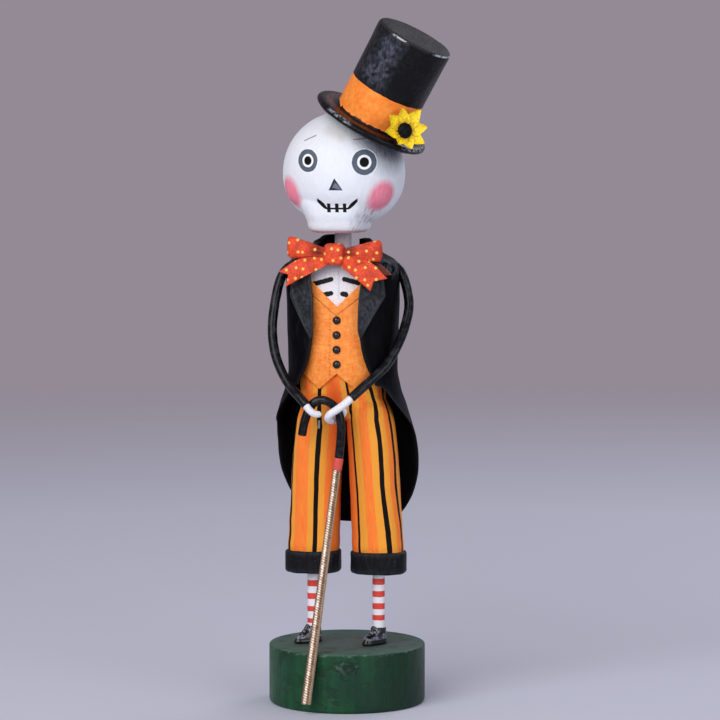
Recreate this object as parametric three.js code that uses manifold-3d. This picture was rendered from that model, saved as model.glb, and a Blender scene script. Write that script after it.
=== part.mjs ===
// Skeleton gentleman figurine on a round base.
// Millimetres, +Z up. The figure faces -Y, and the origin is the centre of the base's underside.
// Left and right are the figure's own, so its left is on +X.

import * as THREE from 'three';
import { mergeVertices } from 'three/addons/utils/BufferGeometryUtils.js';
import Module from 'manifold-3d';

const wasm = await Module();
wasm.setup();

// Gap between pieces that touch, and how far a cutting tool runs past what it cuts.
const GAP = 0.3;
const REACH = 30;

// Centre of the torso, seen from above.
const MID = { x: -0.9, y: -2 };

const BASE = { radius: 25.6, height: 19.3, edge: 1.0 };

const SHOE = { width: 4.7, toe: 7.3, heel: 2.8, height: 5.4, toeOut: { right: 47, left: -33 } };

// Shoe from the sole to the ankle: height, and how far the toe, sides and heel are drawn in.
const SHOE_ROWS = [
	{ up: 0, toeIn: 0, sideIn: 0, heelIn: 0 },
	{ up: 0.9, toeIn: 0, sideIn: 0, heelIn: 0 },
	{ up: 0.95, toeIn: 0.25, sideIn: 0.25, heelIn: 0.25 },
	{ up: 1.8, toeIn: 0.5, sideIn: 0.2, heelIn: 0.2 },
	{ up: 2.7, toeIn: 1.7, sideIn: 0.3, heelIn: 0.3 },
	{ up: 3.5, toeIn: 3.3, sideIn: 0.2, heelIn: 0.4 },
	{ up: 4.4, toeIn: 4.7, sideIn: 0.1, heelIn: 0.5 },
	{ up: SHOE.height, toeIn: 5.0, sideIn: 0.1, heelIn: 0.55 },
];

// Striped rods between the shoes and the cuffs, and how deep they stand in the cuffs.
const LEG = { spread: 10.85, radius: 2.03, sunk: 1.4 };

const CUFF = { bottom: 43.0, top: 50.3, halfWidth: 9.1, halfDepth: 8.2, edge: 0.9 };

// Trouser leg: height, outer edge and inner edge from the middle, half depth and centre depth.
const TROUSER = [
	{ z: 49.0, outer: 19.1, inner: 2.5, depth: 7.2, y: 0 },
	{ z: 60.0, outer: 18.5, inner: 2.1, depth: 7.7, y: -0.3 },
	{ z: 72.0, outer: 17.9, inner: 1.6, depth: 8.4, y: -0.6 },
	{ z: 84.0, outer: 17.0, inner: 1.1, depth: 9.0, y: -0.8 },
	{ z: 94.0, outer: 15.7, inner: 0.6, depth: 9.3, y: -0.7 },
	{ z: 102.0, outer: 12.2, inner: 0.4, depth: 7.6, y: -0.4 },
];

// Torso: height, half width, and depth in front of and behind its centre.
const TORSO = [
	{ z: 93.5, a: 10.5, front: 6.5, back: 6.5 },
	{ z: 97.0, a: 13.8, front: 9.8, back: 9.0 },
	{ z: 106.0, a: 14.2, front: 10.9, back: 9.2 },
	{ z: 118.0, a: 14.5, front: 11.4, back: 9.2 },
	{ z: 130.0, a: 14.9, front: 11.0, back: 9.4 },
	{ z: 138.0, a: 15.0, front: 10.7, back: 9.4 },
	{ z: 142.0, a: 13.9, front: 10.2, back: 8.8 },
	{ z: 145.0, a: 10.6, front: 9.2, back: 7.2 },
	{ z: 147.2, a: 6.0, front: 7.0, back: 5.0 },
	{ z: 148.4, a: 3.0, front: 3.0, back: 3.0 },
];
const TORSO_POWER = 2.4;

const NECK = { radius: 2.75, top: 154.0 };

// Waistcoat outline from the middle outwards: half width and height.
const WAISTCOAT = {
	proud: 0.9,
	neckPoint: 130.5,
	shoulder: { x: 11.5, z: 142 },
	side: 13,
	corner: { x: 11.2, z: 108.5 },
	hemPoint: { x: 5.9, z: 103.9 },
	hemNotch: 109.0,
};

const BUTTON = { radius: 1.35, rise: 1.1, first: 126.3, pitch: 4.75, count: 4, x: -0.8 };

// Coat outside: height, half width, front and back depth, and how square its section is.
const COAT = [
	{ z: 56.0, a: 24.9, front: 15.2, back: 20.4, power: 3.1 },
	{ z: 66.0, a: 25.4, front: 15.2, back: 20.2, power: 3.1 },
	{ z: 73.0, a: 25.4, front: 15.2, back: 19.4, power: 3.1 },
	{ z: 80.0, a: 24.8, front: 15.2, back: 18.0, power: 3.0 },
	{ z: 87.0, a: 23.7, front: 15.1, back: 16.4, power: 2.9 },
	{ z: 92.0, a: 22.4, front: 15.0, back: 15.2, power: 2.8 },
	{ z: 98.5, a: 20.6, front: 14.9, back: 13.8, power: 2.6 },
	{ z: 104.0, a: 18.9, front: 14.8, back: 12.9, power: 2.4 },
	{ z: 110.0, a: 17.8, front: 14.8, back: 12.7, power: 2.4 },
	{ z: 118.0, a: 17.9, front: 14.9, back: 12.7, power: 2.4 },
	{ z: 130.0, a: 18.3, front: 14.5, back: 12.8, power: 2.4 },
	{ z: 138.0, a: 18.5, front: 13.8, back: 12.8, power: 2.4 },
	{ z: 142.5, a: 18.5, front: 13.4, back: 12.5, power: 2.4 },
	{ z: 145.4, a: 16.9, front: 12.8, back: 11.4, power: 2.4 },
	{ z: 147.6, a: 13.2, front: 11.4, back: 9.8, power: 2.3 },
	{ z: 149.4, a: 10.4, front: 9.6, back: 8.6, power: 2.1 },
	{ z: 152.2, a: 9.4, front: 8.8, back: 7.8, power: 2.0 },
];
const COAT_THICKNESS = 2.1;
const TAIL_THICKNESS = 1.4;
const COAT_WAIST = 107;
const COAT_UPPER_ROWS = [152.2, 149.6, 148.2, 146.6, 144.8, 142, 137, 130, 123, 116, COAT_WAIST];
const COAT_TAIL_ROWS = 5;
const COAT_COLUMNS = 26;

// Stretch of the coat that the arms and the bow tie are trimmed against.
const SHOULDER = { bottom: 126, top: 151 };

// Half width of the coat's front opening by height, from the waist to the chest.
const COAT_OPENING = [
	{ z: 105.5, x: 13.6 },
	{ z: 108.0, x: 11.6 },
	{ z: 113.0, x: 9.4 },
	{ z: 118.6, x: 8.2 },
	{ z: 125.0, x: 7.7 },
	{ z: 133.0, x: 7.9 },
	{ z: 140.0, x: 8.6 },
	{ z: 146.0, x: 8.6 },
];

// Angle of the collar's open front, from the side towards the front, above the shoulders.
const COLLAR = { bottom: 146.0, top: 152.2, openAngle: 12 };

// How far the collar's top edge stands above its row, along the coat from its right front edge.
const COLLAR_LIFT = [
	{ u: -1.0, lift: -1.2 },
	{ u: -0.7, lift: -0.4 },
	{ u: -0.45, lift: 1.1 },
	{ u: -0.2, lift: 1.2 },
	{ u: -0.1, lift: 1.0 },
	{ u: 0.06, lift: -2.9 },
	{ u: 0.28, lift: -2.9 },
	{ u: 0.38, lift: 0.1 },
	{ u: 0.55, lift: 0.1 },
	{ u: 0.75, lift: -0.6 },
	{ u: 1.0, lift: -1.2 },
];

// Hem of the tails: angle from the side towards the back, and height.
const COAT_HEM = [
	{ angle: -50, z: 105.4 },
	{ angle: -40, z: 104.3 },
	{ angle: -27, z: 99.4 },
	{ angle: 0, z: 92.4 },
	{ angle: 16, z: 86.8 },
	{ angle: 26, z: 80.0 },
	{ angle: 37, z: 73.0 },
	{ angle: 48, z: 66.8 },
	{ angle: 60, z: 60.9 },
	{ angle: 73, z: 57.8 },
	{ angle: 90, z: 57.0 },
];

const LAPEL = { proud: 0.9, sunk: 0.7, top: 143.5, point: 120.2, corner: { x: 15.6, z: 134 } };

// Arms from the shoulder to the wrist, and hands from the wrist round the cane.
const ARM_RADIUS = 1.58;
const ARM_RIGHT = [
	[-15.8, -4.2, 144.0], [-18.4, -5.2, 142.8], [-20.3, -6.6, 140.1], [-21.9, -8.4, 133.5],
	[-22.6, -11.1, 123.2], [-21.1, -13.9, 115.2], [-18.2, -16.5, 109.2], [-15.3, -18.6, 105.2],
	[-11.7, -21.4, 102.0], [-9.8, -22.7, 100.2],
];
const ARM_LEFT = [
	[14.2, 0.4, 144.0], [16.6, 0.5, 142.8], [18.6, 0.1, 139.6], [20.4, -1.0, 133.5],
	[20.8, -2.5, 129.4], [19.9, -5.8, 123.4], [18.0, -9.7, 117.4], [14.9, -13.8, 111.5],
	[9.1, -18.6, 105.7], [5.1, -21.3, 101.8],
];

const HAND_RADIUS = { right: 1.15, left: 1.15 };
const HAND_RIGHT = [
	[-9.4, -23.0, 99.8], [-8.2, -23.4, 98.2], [-6.8, -23.2, 97.0], [-5.6, -22.5, 96.6], [-4.8, -21.5, 96.8],
];
const HAND_LEFT = [
	[4.7, -21.6, 101.4], [2.8, -22.1, 99.7], [0.4, -22.5, 98.0], [-1.6, -22.5, 96.6], [-2.4, -21.3, 95.3],
	[-2.0, -19.0, 94.4], [-0.9, -16.5, 94.3], [1.0, -15.5, 95.6], [2.3, -16.1, 97.9],
];

const CROOK_RADIUS = 1.42;
const CROOK = [
	[-11.1, -20.2, 89.4], [-10.4, -20.1, 93.4], [-9.1, -19.9, 97.3], [-7.4, -19.7, 99.9],
	[-5.1, -19.5, 101.0], [-2.6, -19.3, 100.4], [-0.6, -19.1, 98.8], [0.8, -18.9, 96.4],
	[1.4, -18.8, 93.4], [1.4, -18.7, 89.8], [1.1, -18.7, 86.0], [0.75, -18.75, 82.3],
];
const SHAFT = { top: [0.05, -18.8, 78.3], tip: [-8.2, -29.0, 3.6], topRadius: 1.25, tipRadius: 1.6 };
const FERRULE_RADIUS = 1.55;

const KNOT = { x: -1.2, y: -15.9, z: 147.7, width: 6.5, height: 7.0, depth: 5.4, edge: 0.9 };

// Bow loops, from the knot outwards: place along, half height and half depth.
const BOW_LOOP = [
	{ along: 1.4, half: 1.6, depth: 1.3 },
	{ along: 4.2, half: 1.9, depth: 1.7 },
	{ along: 8.5, half: 2.7, depth: 2.3 },
	{ along: 12.6, half: 3.3, depth: 2.3 },
	{ along: 14.6, half: 3.5, depth: 1.7 },
	{ along: 15.3, half: 3.0, depth: 0.8 },
];
const BOW_LOOP_RISE = { right: 2.3, left: 1.2 };

// Swallow-tailed ribbon ends in the front plane, from the knot's middle.
const BOW_TAILS = [
	[[-1.6, -0.8], [-11.2, -1.5], [-18.0, -5.7], [-14.9, -6.6], [-15.8, -10.5], [-1.6, -3.2]],
	[[1.6, -0.8], [11.0, -2.0], [17.2, -7.6], [12.9, -8.6], [11.8, -11.6], [1.6, -3.4]],
];
const BOW_TAIL = { back: 0.3, thickness: 1.7 };

const HEAD = { x: -0.6, y: -2, z: 173.6, radius: 19.9, flat: 157.2 };

// The ball is shallower below this height from its centre, by this share.
const UNDERSIDE = { from: -6.6, share: 0.84 };

// Jaw block: height, half width, and its front and back from the head's centre.
const JAW = [
	{ z: 154.4, half: 8.6, front: 13.0, back: 5.0 },
	{ z: 155.1, half: 9.5, front: 14.1, back: 6.0 },
	{ z: 158.0, half: 9.9, front: 15.2, back: 7.0 },
	{ z: 160.6, half: 11.0, front: 16.1, back: 8.0 },
	{ z: 164.5, half: 13.4, front: 17.3, back: 9.0 },
];
const JAW_X = -1.7;
const JAW_POWER = 3.4;

// Hat: its brim's middle, how far its axis leans to the side and forward, and the turned profile.
const HAT = {
	seen: 10,
	side: 27.5,
	forward: 13,
	centre: [9.1, -6.5, 189.9],
	brimRadius: 19.3,
	brimHalf: 1.2,
	crownRadius: 12.8,
	waistRadius: 12.5,
	height: 31.8,
};

// Flower at the band: where it sits round the crown, and how far it faces to the side and up.
const FLOWER = {
	turn: 36.5,
	face: 22,
	tilt: 30,
	rise: 5.8,
	standOff: 5,
	petalHalf: 2.5,
	petalThickness: 0.45,
};

// Middle of the flower with its stalk, as pairs of radius and height.
const FLOWER_DISC = [[0, -6], [1.6, -6], [2.5, -0.5], [2.5, 0.8], [1.75, 1.6], [0, 2]];

// Petals round the middle: angle from the hat's right, and length.
const PETALS = [
	{ turn: 28, length: 7.6 },
	{ turn: 71, length: 8.6 },
	{ turn: 116, length: 7.1 },
	{ turn: 159, length: 7.3 },
	{ turn: 204, length: 7.2 },
	{ turn: 260, length: 5.3 },
	{ turn: 306, length: 6.2 },
	{ turn: 346, length: 7.5 },
];

// One petal along its length: share of the length, share of the half width, and lift of its middle.
const PETAL_ROWS = [
	{ along: 0.15, half: 0.4, lift: 0 },
	{ along: 0.55, half: 1, lift: 0.2 },
	{ along: 0.82, half: 0.6, lift: 0.6 },
	{ along: 1, half: 0.1, lift: 1.1 },
];

const COLOUR = {
	green: 0x24503a,
	black: 0x16171a,
	coat: 0x23272d,
	stripedLeg: 0xe0684f,
	orange: 0xe88420,
	bow: 0xe0472a,
	bone: 0xf0eef0,
	hat: 0x1c1d20,
	petal: 0xf2c318,
	gilt: 0xb08a55,
	red: 0xc4392c,
};

// Smooth rise between the rows of a table, by the value in its key column, with no overshoot.
function track(rows, key, field) {
	const last = rows.length - 1;
	const slope = (i) => (rows[i + 1][field] - rows[i][field]) / (rows[i + 1][key] - rows[i][key]);
	const tangent = (i) => {
		if (i === 0) return slope(0);
		if (i === last) return slope(last - 1);
		const before = slope(i - 1);
		const after = slope(i);
		return before * after <= 0 ? 0 : (2 * before * after) / (before + after);
	};
	return (value) => {
		const at = THREE.MathUtils.clamp(value, rows[0][key], rows[last][key]);
		let i = 0;
		while (i < last - 1 && at > rows[i + 1][key]) i += 1;
		const width = rows[i + 1][key] - rows[i][key];
		const t = (at - rows[i][key]) / width;
		const rise = t * t * (3 - 2 * t);
		return (
			rows[i][field] * (1 - rise) +
			rows[i + 1][field] * rise +
			width * t * (1 - t) * ((1 - t) * tangent(i) - t * tangent(i + 1))
		);
	};
}

// Evenly spaced numbers from one value to another, both included.
function steps(from, to, count) {
	return Array.from({ length: count + 1 }, (unused, i) => from + ((to - from) * i) / count);
}

// Point of a superellipse at an angle from the side (0) to the back (90) or the front (-90).
function ovalPoint(section, angle, z) {
	const c = Math.cos(angle);
	const s = Math.sin(angle);
	const power = 2 / section.power;
	const depth = s < 0 ? section.front : section.back;
	return new THREE.Vector3(
		section.x + section.a * Math.sign(c) * Math.abs(c) ** power,
		section.y + depth * Math.sign(s) * Math.abs(s) ** power,
		z,
	);
}

function ovalRing(section, z, sides) {
	const turn = (2 * Math.PI) / sides;
	return Array.from({ length: sides }, (unused, i) => ovalPoint(section, turn * (i + 0.5), z));
}

// Geometry from a list of corner positions and triangles, with its faces turned outwards.
function meshOf(points, triangles) {
	let volume = 0;
	for (const [i, j, k] of triangles) {
		volume += points[i].dot(new THREE.Vector3().crossVectors(points[j], points[k]));
	}
	const order = volume < 0 ? triangles.map(([i, j, k]) => [i, k, j]) : triangles;
	const geometry = new THREE.BufferGeometry();
	geometry.setAttribute('position', new THREE.Float32BufferAttribute(points.flatMap((p) => p.toArray()), 3));
	geometry.setIndex(order.flat());
	return geometry;
}

// Closed skin over a stack of rings that have the same number of points, with a fan on each end.
function loft(rings) {
	const sides = rings[0].length;
	const points = rings.flat();
	const triangles = [];
	for (let r = 0; r < rings.length - 1; r += 1) {
		for (let i = 0; i < sides; i += 1) {
			const a = r * sides + i;
			const b = r * sides + ((i + 1) % sides);
			triangles.push([a, b, b + sides], [a, b + sides, a + sides]);
		}
	}
	for (const [r, turned] of [[0, true], [rings.length - 1, false]]) {
		const hub = points.length;
		points.push(rings[r].reduce((sum, p) => sum.add(p), new THREE.Vector3()).divideScalar(sides));
		for (let i = 0; i < sides; i += 1) {
			const a = r * sides + i;
			const b = r * sides + ((i + 1) % sides);
			triangles.push(turned ? [hub, b, a] : [hub, a, b]);
		}
	}
	return meshOf(points, triangles);
}

// Closed sheet between an outer and an inner grid of points with the same rows and columns.
function sheet(outer, inner) {
	const rows = outer.length;
	const columns = outer[0].length;
	const points = [...outer.flat(), ...inner.flat()];
	const inside = rows * columns;
	const at = (r, c) => r * columns + c;
	const triangles = [];
	const quad = (a, b, c, d) => triangles.push([a, b, c], [a, c, d]);
	for (let r = 0; r < rows - 1; r += 1) {
		for (let c = 0; c < columns - 1; c += 1) {
			quad(at(r, c), at(r, c + 1), at(r + 1, c + 1), at(r + 1, c));
			quad(inside + at(r, c), inside + at(r + 1, c), inside + at(r + 1, c + 1), inside + at(r, c + 1));
		}
	}
	for (let c = 0; c < columns - 1; c += 1) {
		quad(at(0, c + 1), at(0, c), inside + at(0, c), inside + at(0, c + 1));
		quad(at(rows - 1, c), at(rows - 1, c + 1), inside + at(rows - 1, c + 1), inside + at(rows - 1, c));
	}
	const end = columns - 1;
	for (let r = 0; r < rows - 1; r += 1) {
		quad(at(r, 0), at(r + 1, 0), inside + at(r + 1, 0), inside + at(r, 0));
		quad(at(r + 1, end), at(r, end), inside + at(r, end), inside + at(r + 1, end));
	}
	return meshOf(points, triangles);
}

// Solid for joining and cutting, from any closed geometry.
function solid(geometry) {
	const bare = geometry.clone();
	bare.deleteAttribute('normal');
	bare.deleteAttribute('uv');
	const merged = mergeVertices(bare, 1e-4);
	return new wasm.Manifold(
		new wasm.Mesh({
			numProp: 3,
			vertProperties: new Float32Array(merged.attributes.position.array),
			triVerts: new Uint32Array(merged.index.array),
		}),
	);
}

function geometryOf(shape) {
	const mesh = shape.getMesh();
	const geometry = new THREE.BufferGeometry();
	geometry.setAttribute('position', new THREE.BufferAttribute(mesh.vertProperties, 3));
	geometry.setIndex(new THREE.BufferAttribute(mesh.triVerts, 1));
	return geometry;
}

// Turned shape: pairs of radius and height, from the axis back to the axis, about +Z.
function turned(profile, sides) {
	return new THREE.LatheGeometry(profile.map(([r, z]) => new THREE.Vector2(r, z)), sides).rotateX(Math.PI / 2);
}

function rod(radius, bottom, top, sides) {
	return turned([[0, bottom], [radius, bottom], [radius, top], [0, top]], sides);
}

// Outline in the front plane (x across, z up), run back from one depth to another.
function frontPrism(outline, front, back) {
	const shape = new THREE.Shape(outline.map(([x, z]) => new THREE.Vector2(x, z)));
	const geometry = new THREE.ExtrudeGeometry(shape, { depth: back - front, bevelEnabled: false });
	return geometry.rotateX(Math.PI / 2).translate(0, back, 0);
}

// Round tube of one thickness along hand-placed points.
function tube(points, radius, sides, length) {
	const path = new THREE.CatmullRomCurve3(points.map((p) => new THREE.Vector3(...p)), false, 'centripetal');
	const section = new THREE.Shape(
		Array.from({ length: sides }, (unused, i) => {
			const angle = (2 * Math.PI * i) / sides;
			return new THREE.Vector2(radius * Math.cos(angle), radius * Math.sin(angle));
		}),
	);
	return new THREE.ExtrudeGeometry(section, { steps: length, extrudePath: path, bevelEnabled: false });
}

const torsoTrack = {
	a: track(TORSO, 'z', 'a'),
	front: track(TORSO, 'z', 'front'),
	back: track(TORSO, 'z', 'back'),
};

const coatTrack = {
	a: track(COAT, 'z', 'a'),
	front: track(COAT, 'z', 'front'),
	back: track(COAT, 'z', 'back'),
	power: track(COAT, 'z', 'power'),
};

const openingHalfAt = track(COAT_OPENING, 'z', 'x');
const hemAt = track(COAT_HEM, 'angle', 'z');
const collarLiftAt = track(COLLAR_LIFT, 'u', 'lift');

// Torso section at a height, grown outwards by an amount.
function torsoSection(z, grow) {
	return {
		x: MID.x,
		y: MID.y,
		a: torsoTrack.a(z) + grow,
		front: torsoTrack.front(z) + grow,
		back: torsoTrack.back(z) + grow,
		power: TORSO_POWER,
	};
}

// Coat section at a height, grown outwards by an amount.
function coatSection(z, grow) {
	return {
		x: MID.x,
		y: MID.y,
		a: coatTrack.a(z) + grow,
		front: coatTrack.front(z) + grow,
		back: coatTrack.back(z) + grow,
		power: coatTrack.power(z),
	};
}

// Whole coat body as a filled block, for trimming what lies against it.
function coatBlock(bottom, top, grow, rows, sides) {
	return loft(steps(bottom, top, rows).map((z) => ovalRing(coatSection(z, grow), z, sides)));
}

function makeBase() {
	const { radius, height, edge } = BASE;
	const corner = (z, sign) => [30, 60].map((turn) => {
		const angle = THREE.MathUtils.degToRad(turn);
		return [radius - edge + edge * Math.cos(angle), z - sign * (edge - edge * Math.sin(angle))];
	});
	return turned(
		[
			[0, 0],
			[radius - edge, 0],
			...corner(0, -1).reverse(),
			[radius, edge],
			[radius, height - edge],
			...corner(height, 1),
			[radius - edge, height],
			[0, height],
		],
		32,
	);
}

// Shoe with a flat sole and a snug ankle, its toe along -Y and its ankle over the origin.
function makeShoe() {
	return loft(SHOE_ROWS.map((row) => ovalRing(
		{
			x: 0,
			y: 0,
			a: SHOE.width / 2 - row.sideIn,
			front: SHOE.toe - row.toeIn,
			back: SHOE.heel - row.heelIn,
			power: 2.2,
		},
		BASE.height + GAP + row.up,
		16,
	)));
}

function makeLeg() {
	const bottom = BASE.height + GAP + SHOE.height + GAP;
	return rod(LEG.radius, bottom, CUFF.bottom + LEG.sunk, 12);
}

function makeTrouserLeg(side) {
	const outer = track(TROUSER, 'z', 'outer');
	const inner = track(TROUSER, 'z', 'inner');
	const depth = track(TROUSER, 'z', 'depth');
	const shift = track(TROUSER, 'z', 'y');
	const rings = steps(TROUSER[0].z, TROUSER.at(-1).z, 5).map((z) => ovalRing(
		{
			x: (side * (outer(z) + inner(z))) / 2,
			y: MID.y + shift(z),
			a: (outer(z) - inner(z)) / 2,
			front: depth(z),
			back: depth(z),
			power: 2.3,
		},
		z,
		20,
	));
	return loft(rings);
}

function makeCuff(side) {
	const { bottom, top, edge } = CUFF;
	const rows = [
		{ z: bottom, in: edge },
		{ z: bottom + 0.3 * edge, in: 0.3 * edge },
		{ z: bottom + edge, in: 0 },
		{ z: top - edge, in: 0 },
		{ z: top - 0.2 * edge, in: 0.4 * edge },
		{ z: top, in: 1.3 * edge },
	];
	return loft(rows.map((row) => ovalRing(
		{
			x: side * LEG.spread,
			y: MID.y,
			a: CUFF.halfWidth - row.in,
			front: CUFF.halfDepth - row.in,
			back: CUFF.halfDepth - row.in,
			power: 2.5,
		},
		row.z,
		20,
	)));
}

function torsoBlock(grow, rows) {
	const heights = steps(TORSO[0].z, TORSO.at(-1).z, rows);
	return loft(heights.map((z) => ovalRing(torsoSection(z, grow), z, 26)));
}

// Waistcoat: a thicker torso, kept only inside its own front outline.
function makeWaistcoat() {
	const { shoulder, side, corner, hemPoint, hemNotch, neckPoint } = WAISTCOAT;
	const right = [
		[hemPoint.x, hemPoint.z], [corner.x, corner.z], [side, corner.z + 1], [side, shoulder.z + 1],
		[shoulder.x, shoulder.z],
	];
	const left = right.map(([x, z]) => [-x, z]).reverse();
	const outline = [[0, hemNotch], ...right, [0, neckPoint], ...left].map(([x, z]) => [x + MID.x, z]);
	return solid(torsoBlock(WAISTCOAT.proud, 9)).intersect(solid(frontPrism(outline, -REACH, MID.y - 3)));
}

function makeBody() {
	let shape = solid(torsoBlock(0, 9)).add(makeWaistcoat());
	for (const side of [-1, 1]) {
		shape = shape.add(solid(makeTrouserLeg(side))).add(solid(makeCuff(side)));
	}
	const neck = rod(NECK.radius, TORSO.at(-1).z - 4, NECK.top, 12).translate(MID.x, MID.y, 0);
	shape = shape.add(solid(neck));
	for (const side of [-1, 1]) {
		const well = rod(LEG.radius + GAP, CUFF.bottom - REACH, CUFF.bottom + LEG.sunk + GAP, 10);
		shape = shape.subtract(solid(well.translate(side * LEG.spread, MID.y, 0)));
	}
	return geometryOf(shape);
}

function makeButton() {
	const { radius, rise } = BUTTON;
	const dome = [[radius, 0], [0.94 * radius, 0.5 * rise], [0.6 * radius, 0.86 * rise]];
	return turned([[0, 0], ...dome, [0, rise]], 10);
}

// Angle of the coat's front edge at a height, from the side towards the front.
function openingAngle(z, grow) {
	const section = coatSection(z, grow);
	const across = Math.min(1, openingHalfAt(z) / section.a);
	const edge = -Math.acos(across ** (section.power / 2));
	const lift = THREE.MathUtils.smoothstep(z, COLLAR.bottom, COLLAR.top);
	return THREE.MathUtils.lerp(edge, -THREE.MathUtils.degToRad(COLLAR.openAngle), lift);
}

// Angle round the coat, where u runs from one front edge (-1) over the back (0) to the other (1).
function angleAlong(u, edge) {
	return Math.PI / 2 - Math.abs(u) * (Math.PI / 2 - edge);
}

// Height of a row of the coat, where the rows below the waist share out the way down to the hem.
function coatHeight(u, row) {
	const last = COAT_UPPER_ROWS.length - 1;
	const top = COAT_UPPER_ROWS[Math.min(row, last)];
	const below = Math.max(0, row - last) / COAT_TAIL_ROWS;
	const angle = THREE.MathUtils.radToDeg(angleAlong(u, openingAngle(top, 0)));
	const stand = Math.max(0, (top - COLLAR.bottom) / (COLLAR.top - COLLAR.bottom));
	return THREE.MathUtils.lerp(top, hemAt(angle), below) + collarLiftAt(u) * stand ** 1.5;
}

// Point of the coat's outer side (depth 0) or inner side (depth 1).
function coatPoint(u, row, depth) {
	const z = coatHeight(u, row);
	const full = THREE.MathUtils.smoothstep(z, 85, COAT_WAIST);
	const inset = depth * THREE.MathUtils.lerp(TAIL_THICKNESS, COAT_THICKNESS, full);
	const slope = z > COAT_WAIST ? (coatTrack.a(z + 0.4) - coatTrack.a(z - 0.4)) / 0.8 : 0;
	const lean = Math.hypot(1, slope);
	const grow = -inset / lean;
	const angle = angleAlong(u, openingAngle(COAT_UPPER_ROWS[row] ?? COAT_WAIST, grow));
	return ovalPoint(coatSection(z, grow), u < 0 ? Math.PI - angle : angle, z - grow * slope);
}

// Coat: one sheet from the collar over the shoulders down to the hem, open at the front.
function makeTailcoat() {
	const lastRow = COAT_UPPER_ROWS.length - 1 + COAT_TAIL_ROWS;
	const rows = steps(0, lastRow, lastRow);
	const columns = steps(-1, 1, COAT_COLUMNS);
	const side = (depth) => rows.map((row) => columns.map((u) => coatPoint(u, row, depth)));
	return geometryOf(solid(sheet(side(0), side(1))).add(makeLapels()));
}

// Lapels: a raised skin on both front panels, tapering to a point at the front edge.
function makeLapels() {
	const { point, top, corner } = LAPEL;
	const heights = steps(point, top, 5);
	const skin = solid(coatBlock(point - 3, top + 1, LAPEL.proud, 5, 32))
		.subtract(solid(coatBlock(point - 6, top + 3, -LAPEL.sunk, 5, 32)));
	const outlines = [-1, 1].map((side) => {
		const edge = heights.map((z) => [openingHalfAt(z) - 0.2, z]);
		const half = [...edge, [corner.x - 1, top], [corner.x, corner.z]];
		return solid(frontPrism(half.map(([x, z]) => [MID.x + side * x, z]), -REACH, MID.y));
	});
	return skin.intersect(outlines[0].add(outlines[1]));
}

function makeArm(points) {
	const arm = solid(tube(points, ARM_RADIUS, 8, 18));
	return geometryOf(arm.subtract(solid(coatBlock(SHOULDER.bottom, SHOULDER.top, GAP, 10, 28))));
}

function makeBowTie() {
	const { x, y, z, width, height, depth, edge } = KNOT;
	const box = new THREE.Shape([
		new THREE.Vector2(-width / 2 + edge, -height / 2 + edge),
		new THREE.Vector2(width / 2 - edge, -height / 2 + edge),
		new THREE.Vector2(width / 2 - edge, height / 2 - edge),
		new THREE.Vector2(-width / 2 + edge, height / 2 - edge),
	]);
	const bevel = { depth: depth - 2 * edge, bevelThickness: edge, bevelSize: edge, bevelSegments: 2 };
	const knot = new THREE.ExtrudeGeometry(box, bevel).translate(0, 0, edge - depth / 2).rotateX(Math.PI / 2);
	let shape = solid(knot);
	const reach = BOW_LOOP.at(-1).along;
	for (const [side, rise] of [[-1, BOW_LOOP_RISE.right], [1, BOW_LOOP_RISE.left]]) {
		const rings = BOW_LOOP.map((row) => Array.from({ length: 12 }, (unused, i) => {
			const angle = (2 * Math.PI * (i + 0.5)) / 12;
			return new THREE.Vector3(
				side * row.along,
				0.4 + row.depth * Math.sin(angle),
				(rise * row.along) / reach + row.half * Math.sign(Math.cos(angle)) * Math.abs(Math.cos(angle)) ** 0.7,
			);
		}));
		shape = shape.add(solid(loft(rings)));
	}
	for (const outline of BOW_TAILS) {
		shape = shape.add(solid(frontPrism(outline, BOW_TAIL.back - BOW_TAIL.thickness, BOW_TAIL.back)));
	}
	const clear = solid(torsoBlock(WAISTCOAT.proud + GAP, 8))
		.add(solid(coatBlock(SHOULDER.bottom, SHOULDER.top, LAPEL.proud + GAP, 8, 24)));
	return geometryOf(solid(geometryOf(shape).translate(x, y, z)).subtract(clear));
}

function makeHead() {
	const { radius, flat } = HEAD;
	const profile = steps(90, -52, 10).map((turn) => {
		const angle = THREE.MathUtils.degToRad(turn);
		const rise = radius * Math.sin(angle);
		const below = Math.min(0, rise - UNDERSIDE.from);
		return [radius * Math.cos(angle), rise - below * (1 - UNDERSIDE.share)];
	});
	profile[0][0] = 0;
	const bottom = [[9.5, flat - HEAD.z], [0, flat - HEAD.z]];
	const skull = turned([...profile, ...bottom].reverse(), 24).translate(HEAD.x, HEAD.y, HEAD.z);
	const jaw = loft(JAW.map((row) => ovalRing(
		{ x: JAW_X, y: HEAD.y, a: row.half, front: row.front, back: row.back, power: JAW_POWER },
		row.z,
		20,
	)));
	return geometryOf(solid(skull).add(solid(jaw)));
}

function hatProfile(grow) {
	const { brimRadius, brimHalf, crownRadius, waistRadius, height } = HAT;
	return [
		[0, -brimHalf - grow],
		[brimRadius - 1.6, -brimHalf - grow],
		[brimRadius - 0.4, -0.6 * brimHalf - grow],
		[brimRadius + grow, 0],
		[brimRadius - 0.4, 0.6 * brimHalf + grow],
		[brimRadius - 1.6, brimHalf + grow],
		[waistRadius + 0.5 + grow, brimHalf + grow],
		[waistRadius + grow, 0.3 * height],
		[crownRadius + grow, height - 0.9],
		[crownRadius - 0.6 + grow, height - 0.2 + grow],
		[crownRadius - 1.4, height + grow],
		[0, height + grow],
	];
}

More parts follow.
